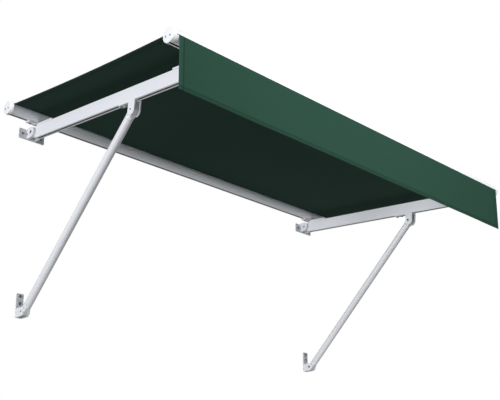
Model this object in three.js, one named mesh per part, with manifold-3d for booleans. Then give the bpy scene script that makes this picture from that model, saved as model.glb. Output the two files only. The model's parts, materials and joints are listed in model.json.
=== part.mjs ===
// Fixed-frame wall awning: a cloth stretched between two round rails, carried by two side beams that hinge
// on wall brackets and stand on sloping struts. Millimetres, +X along the wall, +Y into the wall, +Z up.
// The origin is on the wall face behind the left wall bracket, level with the hinge bolts.
import * as THREE from 'three';
import { mergeVertices } from 'three/addons/utils/BufferGeometryUtils.js';
import Module from 'manifold-3d';

const wasm = await Module();
wasm.setup();

// ---------------------------------------------------------------- driving dimensions
const GAP = 0.3; // clearance between touching pieces
const RAIL_LENGTH = 2500; // over the end caps
const BEAM_SPACING = 2120; // between the two side beams' centre planes
const TILT = THREE.MathUtils.degToRad(5.6); // fall of the roof towards the front

// Side beams, measured along the beam from the hinge bolt (out) and across it (up).
const BEAM_WIDTH = 30;
const BEAM_HEIGHT = 68;
const BEAM_WALL = 2;
const BEAM_REAR = 34;
const BEAM_FRONT = 1331;
const BEAM_SLOT = 9;
const BEAM_CHAMBER = { width: 21, depth: 7 };
const HINGE_PLUG = { reach: 60, flange: 4, knuckle: 26 };
const END_CAP = { face: 3, plug: 20 };

// Round rails with a flat foot, three grooves and two screw ports.
const RAIL_RADIUS = 34;
const RAIL_WALL = 2.2;
const RAIL_FOOT = 31.2; // axis to the flat underside
const RAIL_WEB = 2; // the level web that holds the screw ports
const RAIL_SLOT = 12;
const RAIL_CHAMBER = { width: 21, depth: 7 };
const REAR_RAIL_OUT = 28;
const FRONT_RAIL_OUT = 1306;
const GROOVE_RADIUS = 4;
const GROOVE_MOUTH = 2.8;
const CLOTH_GROOVE = { in: 21, up: 19 };
const VALANCE_GROOVE = { out: 27.5, up: 0 };
const SCREW_PORT = { side: 14, up: -6, radius: 4.6, hole: 2.4 };

const CAP_RADIUS = 36;
const CAP_DISC = 4;
const CAP_DEPTH = 18;
const CAP_SCREW = { head: 4.2, height: 2.5, shank: 22 };

// T-shaped seat plates between each beam and rail.
const SEAT_THICKNESS = 8.5;
const SEAT_BAR = { length: 140, width: 36 };
const SEAT_STEM = { width: 30, rear: 142, front: 180 }; // stem reach from the rail's axis
const SEAT_BOLT = 50; // on the bar, either side of the stem
const STEM_BOLTS = [18, 70]; // back from the stem's end
const M8_HOLE = 4.3; // radius of a clearance hole for the plates', clevises' and nut bars' bolts
const RAIL_UP = BEAM_HEIGHT / 2 + GAP + SEAT_THICKNESS + GAP + RAIL_FOOT;

// Cloth roof and hanging valance.
const CLOTH_THICKNESS = 1.4;
const CLOTH_WIDTH = RAIL_LENGTH - 2 * CAP_DEPTH - 2;
const VALANCE_WIDTH = 2438;
const VALANCE_DROP = 243;
const VALANCE_OUT = 36.6;
const BEAD_RADIUS = 3.3;

// Wall brackets, with the hinge bolt through two thick round ears.
const HINGE_OUT = 36;
const WALL_PLATE = { width: 150, top: 21, bottom: -34, thickness: 6 };
const WALL_EAR = { radius: 29, inner: 13.6, outer: 28 };
const WALL_SCREW = { side: 52, up: -6 };
const HINGE_BOLT = { radius: 6, head: 9.5, recess: 6, socket: 4.6, socketDepth: 3.5 };
const PLATE_SCREW = { shank: 3.2, hole: 3.6, washer: 8, washerHeight: 1.6, hex: 6, hexHeight: 4.2 };

// Struts with forked brackets at both ends.
const FORK = { inner: 13, outer: 19 };
const PIVOT_BOLT = { radius: 4, head: 7, headHeight: 5, end: 1.5 };
const UPPER_PIVOT = { out: 853, up: -80 };
const UPPER_EAR = { radius: 24, out: 856, up: -84 };
const CLEVIS_BASE = { rear: 745, front: 880, thickness: 5.5 };
const CLEVIS_BOLTS = [758, 792];
const SLOT_SCREW = { shank: 4, head: 7, headHeight: 5.5 };
const SLOT_NUT = { margin: 13, height: 6 };
const FOOT_PIVOT = { out: 54, up: -960 };
const FOOT_EAR_RADIUS = 23;
const FOOT_PLATE = { width: 40, top: -858, bottom: -983, thickness: 6 };
const FOOT_SCREWS = [-872, -909];
const STRUT_RADIUS = 20;
const STRUT_WALL = 2;
const STRUT_TUBE_FROM_PIVOT = 46;
const TONGUE = { thickness: 25.4, shoulder: 31, radius: 18, plug: 60 };
const TONGUE_HOLE = { upper: 6.8, lower: 4.3 }; // the upper hole is wide, so the linked parts stay free

const SIDES = [
  { name: 'left', x: 0, outward: -1 },
  { name: 'right', x: BEAM_SPACING, outward: 1 },
];
const CENTRE_X = BEAM_SPACING / 2;

// ---------------------------------------------------------------- materials
function finish(color, roughness, metalness) {
  return new THREE.MeshStandardMaterial({ color, roughness, metalness });
}

const COATED = finish(0xf0f1f3, 0.45, 0.1);
const PLASTIC = finish(0xf4f4f4, 0.5, 0);
const TUBE = finish(0xdcdddf, 0.35, 0.4);
const CASTING = finish(0xdadbdd, 0.5, 0.3);
const STEEL = finish(0x9b9da0, 0.35, 0.9);
const ROOF_CLOTH = finish(0x1c2a24, 0.95, 0);
const VALANCE_CLOTH = finish(0x315245, 0.95, 0);

// ---------------------------------------------------------------- joining and cutting
function toSolid(geometry) {
  const bare = geometry.clone();
  bare.deleteAttribute('normal');
  bare.deleteAttribute('uv');
  const merged = mergeVertices(bare, 1e-5);
  return new wasm.Manifold(new wasm.Mesh({
    numProp: 3,
    vertProperties: Float32Array.from(merged.attributes.position.array),
    triVerts: Uint32Array.from(merged.index.array),
  }));
}

function toGeometry(solid) {
  const mesh = solid.getMesh();
  const geometry = new THREE.BufferGeometry();
  geometry.setAttribute('position', new THREE.BufferAttribute(mesh.vertProperties, 3));
  geometry.setIndex(new THREE.BufferAttribute(mesh.triVerts, 1));
  geometry.computeVertexNormals();
  return geometry;
}

function join(...pieces) {
  return toGeometry(pieces.map(toSolid).reduce((whole, piece) => whole.add(piece)));
}

function cut(base, ...tools) {
  return toGeometry(tools.map(toSolid).reduce((whole, tool) => whole.subtract(tool), toSolid(base)));
}

// ---------------------------------------------------------------- basic forms
const X_AXIS = new THREE.Vector3(1, 0, 0);
const Y_AXIS = new THREE.Vector3(0, 1, 0);
const Z_AXIS = new THREE.Vector3(0, 0, 1);
const OUTWARD = new THREE.Vector3(0, -1, 0);

function block(x0, x1, y0, y1, z0, z1) {
  const box = new THREE.BoxGeometry(x1 - x0, y1 - y0, z1 - z0);
  return box.translate((x0 + x1) / 2, (y0 + y1) / 2, (z0 + z1) / 2);
}

// A round bar from point `start`, along a unit direction.
function bar(radius, start, direction, length, sides = 20) {
  const cylinder = new THREE.CylinderGeometry(radius, radius, length, sides);
  cylinder.applyQuaternion(new THREE.Quaternion().setFromUnitVectors(Y_AXIS, direction));
  const middle = direction.clone().multiplyScalar(length / 2).add(start);
  return cylinder.translate(middle.x, middle.y, middle.z);
}

function extrude(shape, depth, curveSegments = 14) {
  return new THREE.ExtrudeGeometry(shape, { depth, bevelEnabled: false, steps: 1, curveSegments });
}

// A section drawn in the (Y, Z) plane, run along X.
function alongX(shape, x0, x1, curveSegments) {
  const turn = new THREE.Matrix4().makeBasis(Y_AXIS, Z_AXIS, X_AXIS);
  return extrude(shape, x1 - x0, curveSegments).applyMatrix4(turn).translate(x0, 0, 0);
}

// A section drawn in the (X, Z) plane, run outwards from the wall.
function alongBeam(shape, out0, out1) {
  const turn = new THREE.Matrix4().makeBasis(X_AXIS, Z_AXIS, OUTWARD);
  return extrude(shape, out1 - out0).applyMatrix4(turn).translate(0, -out0, 0);
}

function polygon(points) {
  return new THREE.Shape(points.map(([a, b]) => new THREE.Vector2(a, b)));
}

// A round-nosed ear in the (Y, Z) plane: a disc about (y, z), carried straight back to `backY`, at the wall.
function earShape(y, z, radius, backY) {
  const shape = new THREE.Shape();
  shape.moveTo(backY, z + radius);
  shape.lineTo(y, z + radius);
  shape.absarc(y, z, radius, Math.PI / 2, 1.5 * Math.PI, false);
  shape.lineTo(backY, z - radius);
  shape.closePath();
  return shape;
}

// The hinge knuckle in the (Y, Z) plane: a disc about the hinge line, carried straight out along the beam.
function knuckleShape(radius, out) {
  const shape = new THREE.Shape();
  shape.moveTo(-out, -radius);
  shape.lineTo(0, -radius);
  shape.absarc(0, 0, radius, -Math.PI / 2, Math.PI / 2, false);
  shape.lineTo(-out, radius);
  shape.closePath();
  return shape;
}

function point(x, y, z) {
  return new THREE.Vector3(x, y, z);
}

// A profile of [radius, height] pairs, turned about Y.
function lathe(profile, sides) {
  return new THREE.LatheGeometry(profile.map(([r, h]) => new THREE.Vector2(r, h)), sides);
}

// ---------------------------------------------------------------- rails and their caps
// A bead groove in the rail's outline: in through the mouth at one edge, round the bore, and out again.
// `side` is +1 where the mouth opens towards +Y and -1 where it opens towards -Y.
function addGroove(shape, y, z, side) {
  const half = GROOVE_MOUTH / 2;
  const reach = Math.sqrt(GROOVE_RADIUS ** 2 - half ** 2);
  const angle = Math.asin(half / GROOVE_RADIUS);
  const start = side > 0 ? -angle : Math.PI - angle;
  shape.lineTo(y + side * reach, z - side * half);
  shape.absarc(y, z, GROOVE_RADIUS, start, start + 2 * angle, true);
}

// The distance from `from`, along `angle`, to the nearest of the walls that bound a hollow.
function reachTo(from, angle, circles, planes) {
  const [dy, dz] = [Math.cos(angle), Math.sin(angle)];
  const toRing = (radius) => {
    const along = from.y * dy + from.z * dz;
    return -along + Math.sqrt(along ** 2 + radius ** 2 - from.y ** 2 - from.z ** 2);
  };
  const toPost = ({ y, z, radius }) => {
    const along = (y - from.y) * dy + (z - from.z) * dz;
    const aside = (y - from.y) ** 2 + (z - from.z) ** 2 - along ** 2;
    return along > 0 && aside < radius ** 2 ? along - Math.sqrt(radius ** 2 - aside) : Infinity;
  };
  const toPlane = ({ ny, nz, offset }) => {
    const speed = ny * dy + nz * dz;
    return speed > 1e-6 ? (offset - ny * from.y - nz * from.z) / speed : Infinity;
  };
  return Math.min(toRing(RAIL_RADIUS - RAIL_WALL), ...circles.map(toPost), ...planes.map(toPlane));
}

// A hollow of the extrusion, seen from a point inside it.
function hollowPath(from, circles, planes, samples) {
  const points = [];
  for (let i = 0; i < samples; i += 1) {
    const angle = (-2 * Math.PI * (i + 0.5)) / samples;
    const reach = reachTo(from, angle, circles, planes);
    points.push(new THREE.Vector2(from.y + reach * Math.cos(angle), from.z + reach * Math.sin(angle)));
  }
  return new THREE.Path(points);
}

// The front rail's section: the cloth groove opens to the wall, the valance groove to the front, and the
// T-slot downwards. The rear rail is the same extrusion, turned end for end.
function railSection() {
  const foot = Math.acos(RAIL_FOOT / RAIL_RADIUS);
  const down = -Math.PI / 2;
  const slot = RAIL_SLOT / 2;
  const chamber = RAIL_CHAMBER.width / 2;
  const lip = -RAIL_FOOT + RAIL_WALL;
  const top = lip + RAIL_CHAMBER.depth;
  const edge = (up) => Math.asin(up / RAIL_RADIUS);
  const half = GROOVE_MOUTH / 2;
  const arc = (from, to) => shape.absarc(0, 0, RAIL_RADIUS, from, to, false);
  const shape = new THREE.Shape();
  shape.moveTo(slot, -RAIL_FOOT);
  arc(down + foot, edge(CLOTH_GROOVE.up - half));
  addGroove(shape, CLOTH_GROOVE.in, CLOTH_GROOVE.up, 1);
  arc(edge(CLOTH_GROOVE.up + half), Math.PI - edge(half));
  addGroove(shape, -VALANCE_GROOVE.out, VALANCE_GROOVE.up, -1);
  arc(Math.PI + edge(half), 2 * Math.PI + down - foot);
  for (const [y, z] of [[-slot, -RAIL_FOOT], [-slot, lip], [-chamber, lip], [-chamber, top],
    [chamber, top], [chamber, lip], [slot, lip]]) {
    shape.lineTo(y, z);
  }
  shape.closePath();

  const boss = GROOVE_RADIUS + RAIL_WALL;
  const posts = [
    { y: CLOTH_GROOVE.in, z: CLOTH_GROOVE.up, radius: boss },
    { y: -VALANCE_GROOVE.out, z: VALANCE_GROOVE.up, radius: boss },
    { y: SCREW_PORT.side, z: SCREW_PORT.up, radius: SCREW_PORT.radius },
    { y: -SCREW_PORT.side, z: SCREW_PORT.up, radius: SCREW_PORT.radius },
  ];
  const overWeb = { ny: 0, nz: -1, offset: -SCREW_PORT.up - RAIL_WEB / 2 };
  const underWeb = { ny: 0, nz: 1, offset: SCREW_PORT.up - RAIL_WEB / 2 };
  const floor = { ny: 0, nz: -1, offset: -lip };
  shape.holes.push(hollowPath({ y: 0, z: 9 }, posts, [overWeb], 44));
  const overChamber = { ny: 0, nz: -1, offset: -top - RAIL_WALL };
  const walls = [{ ny: 1, nz: 0, offset: chamber }, { ny: -1, nz: 0, offset: chamber }];
  shape.holes.push(hollowPath({ y: 0, z: -13 }, posts, [underWeb, overChamber, ...walls], 18));
  for (const side of [1, -1]) {
    const beside = { ny: -side, nz: 0, offset: -chamber - RAIL_WALL };
    shape.holes.push(hollowPath({ y: side * 18, z: -16 }, posts, [underWeb, floor, beside], 18));
    const port = new THREE.Path();
    port.absarc(side * SCREW_PORT.side, SCREW_PORT.up, SCREW_PORT.hole - GAP, 0, 2 * Math.PI, true);
    shape.holes.push(port);
  }
  return shape;
}

function railGeometry() {
  const end = RAIL_LENGTH / 2 - CAP_DISC - GAP;
  return alongX(railSection(), -end, end, 14);
}

// A cap for the rail's left end: a disc with a sleeve over the rail, open below at the rail's T-slot.
function railCapGeometry() {
  const outer = -RAIL_LENGTH / 2;
  const disc = bar(CAP_RADIUS, point(outer, 0, 0), X_AXIS, CAP_DISC, 36);
  const sleeve = cut(
    bar(CAP_RADIUS, point(outer + 1, 0, 0), X_AXIS, CAP_DEPTH - 1, 36),
    bar(RAIL_RADIUS + GAP, point(outer + CAP_DISC, 0, 0), X_AXIS, CAP_DEPTH, 36),
  );
  const screwHole = (y) => bar(SCREW_PORT.hole, point(outer - 1, y, SCREW_PORT.up), X_AXIS, CAP_DISC + 2, 10);
  const side = RAIL_CHAMBER.width / 2;
  const slotTop = -RAIL_FOOT + RAIL_WALL + RAIL_CHAMBER.depth;
  const notch = block(outer + CAP_DISC, 0, -side, side, -CAP_RADIUS - 1, slotTop);
  return cut(join(disc, sleeve), screwHole(SCREW_PORT.side), screwHole(-SCREW_PORT.side), notch);
}

function capScrewGeometry() {
  const outer = -RAIL_LENGTH / 2;
  const { head, height, shank } = CAP_SCREW;
  const body = bar(SCREW_PORT.hole - 2 * GAP, point(outer - 1, 0, 0), X_AXIS, shank + 1, 8);
  const outline = [[0, GAP], [head, GAP], [head, height / 2], [head * 0.67, height - GAP], [0, height]];
  const dome = lathe(outline, 12);
  dome.applyQuaternion(new THREE.Quaternion().setFromUnitVectors(Y_AXIS, point(-1, 0, 0)));
  return join(dome.translate(outer, 0, 0), body);
}

// ---------------------------------------------------------------- side beams and what is on them
// One half of the beam's outline, with the slot in its lower face; the other half is the same, turned.
function beamHalf() {
  const { width, depth } = BEAM_CHAMBER;
  const side = BEAM_WIDTH / 2;
  const base = -BEAM_HEIGHT / 2;
  const corner = 1.5;
  const lip = base + BEAM_WALL;
  return [
    [-side, base + corner], [-side + corner, base],
    [-BEAM_SLOT / 2, base], [-BEAM_SLOT / 2, lip], [-width / 2, lip], [-width / 2, lip + depth],
    [width / 2, lip + depth], [width / 2, lip], [BEAM_SLOT / 2, lip], [BEAM_SLOT / 2, base],
    [side - corner, base], [side, base + corner],
  ];
}

function beamHollow() {
  return {
    side: BEAM_WIDTH / 2 - BEAM_WALL,
    half: BEAM_HEIGHT / 2 - 2 * BEAM_WALL - BEAM_CHAMBER.depth,
  };
}

function beamGeometry() {
  const lower = beamHalf();
  const outline = polygon([...lower, ...lower.map(([x, z]) => [-x, -z])]);
  const { side, half } = beamHollow();
  outline.holes.push(polygon([[-side, -half], [-side, half], [side, half], [side, -half]]));
  return alongBeam(outline, BEAM_REAR, BEAM_FRONT);
}

// The cast plug in the beam's rear end: a tongue in the beam, a flange over its end and the hinge knuckle.
function hingePlugGeometry() {
  const { side, half } = beamHollow();
  const x = side - GAP;
  const z = half - GAP;
  const { reach, flange, knuckle } = HINGE_PLUG;
  const face = BEAM_REAR - GAP;
  const width = WALL_EAR.inner - GAP;
  return cut(
    join(
      block(-x, x, -BEAM_REAR - reach, -face + flange / 2, -z, z),
      block(-BEAM_WIDTH / 2, BEAM_WIDTH / 2, -face, -face + flange, -BEAM_HEIGHT / 2, BEAM_HEIGHT / 2),
      alongX(knuckleShape(knuckle, face - flange / 2), -width, width),
    ),
    bar(HINGE_BOLT.radius + GAP, point(-20, 0, 0), X_AXIS, 40),
  );
}

function beamEndCapGeometry() {
  const { side, half } = beamHollow();
  const face = -BEAM_FRONT - GAP;
  return join(
    block(-BEAM_WIDTH / 2, BEAM_WIDTH / 2, face - END_CAP.face, face, -BEAM_HEIGHT / 2, BEAM_HEIGHT / 2),
    block(-side + GAP, side - GAP, face - 1, face + END_CAP.plug, -half + GAP, half - GAP),
  );
}

// The T-shaped plate under a rail: a cross-bar along the rail and a stem along the beam.
function seatPlateGeometry(stem, direction) {
  const { length, width } = SEAT_BAR;
  const side = SEAT_STEM.width / 2;
  const plate = polygon([
    [-length / 2, -width / 2], [length / 2, -width / 2], [length / 2, width / 2],
    [side, width / 2], [side, stem], [-side, stem], [-side, width / 2], [-length / 2, width / 2],
  ]);
  const hole = (x, y) => bar(M8_HOLE, point(x, y, -1), Z_AXIS, SEAT_THICKNESS + 2, 12);
  const geometry = cut(
    extrude(plate, SEAT_THICKNESS),
    hole(-SEAT_BOLT, 0),
    hole(SEAT_BOLT, 0),
    ...STEM_BOLTS.map((back) => hole(0, stem - back)),
  );
  return direction > 0 ? geometry : geometry.rotateZ(Math.PI);
}

// ---------------------------------------------------------------- cloth
// The roof's section runs from the bead in the rear rail's groove to the bead in the front rail's.
function clothGeometry() {
  const half = CLOTH_WIDTH / 2;
  const up = RAIL_UP + CLOTH_GROOVE.up;
  const rear = -REAR_RAIL_OUT - CLOTH_GROOVE.in;
  const front = -FRONT_RAIL_OUT + CLOTH_GROOVE.in;
  const neck = Math.asin(CLOTH_THICKNESS / 2 / BEAD_RADIUS);
  const shape = new THREE.Shape();
  shape.absarc(rear, up, BEAD_RADIUS, Math.PI + neck, 3 * Math.PI - neck, false);
  shape.absarc(front, up, BEAD_RADIUS, neck, 2 * Math.PI - neck, false);
  shape.closePath();
  return alongX(shape, -half, half, 12);
}

// The valance: a bead in the front rail's groove, a short neck through its mouth, and the hanging sheet,
// which is plumb although the rail is tilted. Placed about the front rail's axis.
function valanceGeometry() {
  const half = VALANCE_WIDTH / 2;
  const skin = CLOTH_THICKNESS / 2;
  const neck = Math.asin(skin / BEAD_RADIUS);
  const [fall, rise] = [Math.sin(TILT), Math.cos(TILT)];
  const hang = (down, out) => [-VALANCE_OUT - down * fall - out * rise, -down * rise + out * fall];
  const shape = new THREE.Shape();
  shape.absarc(-VALANCE_GROOVE.out, 0, BEAD_RADIUS, Math.PI + neck, 3 * Math.PI - neck, false);
  for (const [y, z] of [[-VALANCE_OUT - skin, skin], hang(VALANCE_DROP, skin), hang(VALANCE_DROP, -skin),
    [-VALANCE_OUT + skin, -skin]]) {
    shape.lineTo(y, z);
  }
  shape.closePath();
  return alongX(shape, -half, half, 12);
}

// ---------------------------------------------------------------- wall brackets
function wallBracketGeometry(outward) {
  const { width, top, bottom, thickness } = WALL_PLATE;
  const ear = earShape(-HINGE_OUT, 0, WALL_EAR.radius, -thickness + 1);
  const recess = outward * (WALL_EAR.outer - HINGE_BOLT.recess);
  const start = (x) => point(x, -thickness - 1, WALL_SCREW.up);
  const screwHole = (x) => bar(PLATE_SCREW.hole, start(x), Y_AXIS, thickness + 2, 12);
  return cut(
    join(
      block(-width / 2, width / 2, -thickness, 0, bottom, top),
      alongX(ear, -WALL_EAR.outer, -WALL_EAR.inner),
      alongX(ear, WALL_EAR.inner, WALL_EAR.outer),
    ),
    bar(HINGE_BOLT.radius + GAP, point(-WALL_EAR.outer - 1, -HINGE_OUT, 0), X_AXIS, 2 * WALL_EAR.outer + 2),
    bar(HINGE_BOLT.head + GAP, point(recess, -HINGE_OUT, 0), point(outward, 0, 0), HINGE_BOLT.recess + 1),
    screwHole(-WALL_SCREW.side),
    screwHole(WALL_SCREW.side),
  );
}

// The hinge bolt's socket head lies in the recess of the outer ear.
function hingeBoltGeometry(outward) {
  const direction = point(outward, 0, 0);
  const seat = outward * (WALL_EAR.outer - HINGE_BOLT.recess + GAP);
  const tip = -outward * (WALL_EAR.outer - 0.5);
  const head = HINGE_BOLT.recess - 1;
  return cut(
    join(
      bar(HINGE_BOLT.head, point(seat, 0, 0), direction, head),
      bar(HINGE_BOLT.radius, point(tip, 0, 0), direction, Math.abs(seat - tip) + 1),
    ),
    bar(HINGE_BOLT.socket, point(seat + outward * (head - HINGE_BOLT.socketDepth), 0, 0), direction, head, 6),
  );
}

// A hexagon screw with a washer face, its head towards the room and its shank towards the wall.
function wallScrewGeometry(plate) {
  const face = -plate - GAP;
  const { shank, washer, washerHeight, hex, hexHeight } = PLATE_SCREW;
  return join(
    bar(washer, point(0, face, 0), OUTWARD, washerHeight, 16),
    bar(hex, point(0, face - 1, 0), OUTWARD, hexHeight + 1, 6),
    bar(shank, point(0, face - 1, 0), Y_AXIS, plate + 1, 10),
  );
}

// ---------------------------------------------------------------- strut forks
function pivotBoltGeometry(outward) {
  const inward = point(-outward, 0, 0);
  const { radius, head, headHeight, end } = PIVOT_BOLT;
  return join(
    bar(radius, point(outward * (FORK.outer + end), 0, 0), inward, 2 * (FORK.outer + end), 12),
    bar(head, point(-outward * (FORK.outer + GAP), 0, 0), inward, headHeight, 6),
  );
}

// The upper fork slides along the beam's lower slot. Placed about the upper pivot.
function clevisGeometry() {
  const { rear, front, thickness } = CLEVIS_BASE;
  const { out, up } = UPPER_PIVOT;
  const top = -BEAM_HEIGHT / 2 - GAP - up;
  const under = top - thickness;
  const ear = new THREE.Shape();
  const [y, z] = [out - UPPER_EAR.out, UPPER_EAR.up - up];
  ear.moveTo(y - UPPER_EAR.radius, top - 1);
  ear.lineTo(y - UPPER_EAR.radius, z);
  ear.absarc(y, z, UPPER_EAR.radius, Math.PI, 2 * Math.PI, false);
  ear.lineTo(y + UPPER_EAR.radius, top - 1);
  ear.closePath();
  const half = BEAM_WIDTH / 2;
  const hole = (at) => bar(M8_HOLE, point(0, out - at, under - 1), Z_AXIS, thickness + 2, 12);
  return cut(
    join(
      block(-half, half, out - front, out - rear, under, top),
      block(-FORK.outer, FORK.outer, y - UPPER_EAR.radius, y + UPPER_EAR.radius, under, top),
      alongX(ear, -FORK.outer, -FORK.inner),
      alongX(ear, FORK.inner, FORK.outer),
    ),
    bar(PIVOT_BOLT.radius + GAP, point(-FORK.outer - 1, 0, 0), X_AXIS, 2 * FORK.outer + 2, 12),
    ...CLEVIS_BOLTS.map(hole),
  );
}

function slotNutGeometry() {
  const low = -BEAM_HEIGHT / 2 + BEAM_WALL + GAP;
  const half = BEAM_CHAMBER.width / 2 - 0.5;
  const [first, last] = CLEVIS_BOLTS;
  const hole = (at) => bar(M8_HOLE, point(0, -at, low - 1), Z_AXIS, BEAM_CHAMBER.depth + 2, 12);
  return cut(
    block(-half, half, -last - SLOT_NUT.margin, -first + SLOT_NUT.margin, low, low + SLOT_NUT.height),
    ...CLEVIS_BOLTS.map(hole),
  );
}

function slotScrewGeometry() {
  const under = -BEAM_HEIGHT / 2 - 2 * GAP - CLEVIS_BASE.thickness;
  const end = -BEAM_HEIGHT / 2 + BEAM_WALL + SLOT_NUT.height;
  const { shank, head, headHeight } = SLOT_SCREW;
  return join(
    bar(head, point(0, 0, under - headHeight), Z_AXIS, headHeight, 6),
    bar(shank, point(0, 0, under - 1), Z_AXIS, end - under + 1, 12),
  );
}

function footBracketGeometry() {
  const { width, top, bottom, thickness } = FOOT_PLATE;
  const ear = earShape(-FOOT_PIVOT.out, FOOT_PIVOT.up, FOOT_EAR_RADIUS, -thickness + 1);
  const hole = (z) => bar(PLATE_SCREW.hole, point(0, -thickness - 1, z), Y_AXIS, thickness + 2, 12);
  const pivot = point(-FORK.outer - 1, -FOOT_PIVOT.out, FOOT_PIVOT.up);
  return cut(
    join(
      block(-width / 2, width / 2, -thickness, 0, bottom, top),
      alongX(ear, -FORK.outer, -FORK.inner),
      alongX(ear, FORK.inner, FORK.outer),
    ),
    bar(PIVOT_BOLT.radius + GAP, pivot, X_AXIS, 2 * FORK.outer + 2, 12),
    ...FOOT_SCREWS.map(hole),
  );
}

// ---------------------------------------------------------------- struts
// A ring-section tube along Z.
function tubeGeometry(radius, wall, z0, z1, sides) {
  const profile = [[radius, z0], [radius, z1], [radius - wall, z1], [radius - wall, z0], [radius, z0]];
  return lathe(profile, sides).rotateX(Math.PI / 2);
}

// The plug in a strut's end: a spigot in the tube, a collar of the tube's diameter and a flat tongue.
function strutPlugGeometry(hole) {
  const side = TONGUE.thickness / 2;
  const collar = STRUT_TUBE_FROM_PIVOT - GAP;
  const tongue = new THREE.Shape();
  tongue.moveTo(TONGUE.radius, TONGUE.shoulder + 2);
  tongue.lineTo(-TONGUE.radius, TONGUE.shoulder + 2);
  tongue.lineTo(-TONGUE.radius, 0);
  tongue.absarc(0, 0, TONGUE.radius, Math.PI, 2 * Math.PI, false);
  tongue.closePath();
  return cut(
    join(
      alongX(tongue, -side, side),
      bar(STRUT_RADIUS, point(0, 0, TONGUE.shoulder), Z_AXIS, collar - TONGUE.shoulder, 32),
      bar(STRUT_RADIUS - STRUT_WALL - GAP, point(0, 0, collar - 2), Z_AXIS, TONGUE.plug, 20),
    ),
    bar(hole, point(-side - 1, 0, 0), X_AXIS, 2 * side + 2, 16),
  );
}

// Where a point of the tilted frame lies in the (outwards, up) plane of the wall.
function inWallPlane(out, up) {
  return {
    out: HINGE_OUT + out * Math.cos(TILT) + up * Math.sin(TILT),
    up: -out * Math.sin(TILT) + up * Math.cos(TILT),
  };
}

const upperPivot = inWallPlane(UPPER_PIVOT.out, UPPER_PIVOT.up);
const strutRun = { out: upperPivot.out - FOOT_PIVOT.out, up: upperPivot.up - FOOT_PIVOT.up };
const STRUT_LENGTH = Math.hypot(strutRun.out, strutRun.up);
const STRUT_LEAN = Math.atan2(strutRun.out, strutRun.up);

// ---------------------------------------------------------------- assembly
const awning = new THREE.Group();

function add(parent, name, geometry, material, x = 0, y = 0, z = 0, turnZ = 0) {
  const mesh = new THREE.Mesh(geometry, material);
  mesh.name = name;
  mesh.position.set(x, y, z);
  mesh.rotation.z = turnZ;
  parent.add(mesh);
  return mesh;
}

// Everything that tilts with the roof, drawn level and turned about the hinge line.
const frame = new THREE.Group();
frame.position.set(0, -HINGE_OUT, 0);
frame.rotation.x = TILT;
awning.add(frame);

const RAILS = [
  { name: 'rear', out: REAR_RAIL_OUT, turn: Math.PI, stem: SEAT_STEM.rear, stemSide: -1 },
  { name: 'front', out: FRONT_RAIL_OUT, turn: 0, stem: SEAT_STEM.front, stemSide: 1 },
];

for (const rail of RAILS) {
  const at = [CENTRE_X, -rail.out, RAIL_UP];
  add(frame, `${rail.name}_rail`, railGeometry(), COATED, ...at, rail.turn);
  for (const side of SIDES) {
    const turn = side.outward < 0 ? 0 : Math.PI;
    add(frame, `${rail.name}_rail_cap_${side.name}`, railCapGeometry(), PLASTIC, ...at, turn);
    for (const [label, offset] of [['a', SCREW_PORT.side], ['b', -SCREW_PORT.side]]) {
      add(frame, `${rail.name}_cap_screw_${side.name}_${label}`, capScrewGeometry(), STEEL,
        CENTRE_X, -rail.out + offset, RAIL_UP + SCREW_PORT.up, turn);
    }
    add(frame, `${rail.name}_seat_plate_${side.name}`, seatPlateGeometry(rail.stem, rail.stemSide), COATED,
      side.x, -rail.out, BEAM_HEIGHT / 2 + GAP);
  }
}

add(frame, 'roof_cloth', clothGeometry(), ROOF_CLOTH, CENTRE_X);
add(frame, 'valance', valanceGeometry(), VALANCE_CLOTH, CENTRE_X, -FRONT_RAIL_OUT, RAIL_UP);

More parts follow.
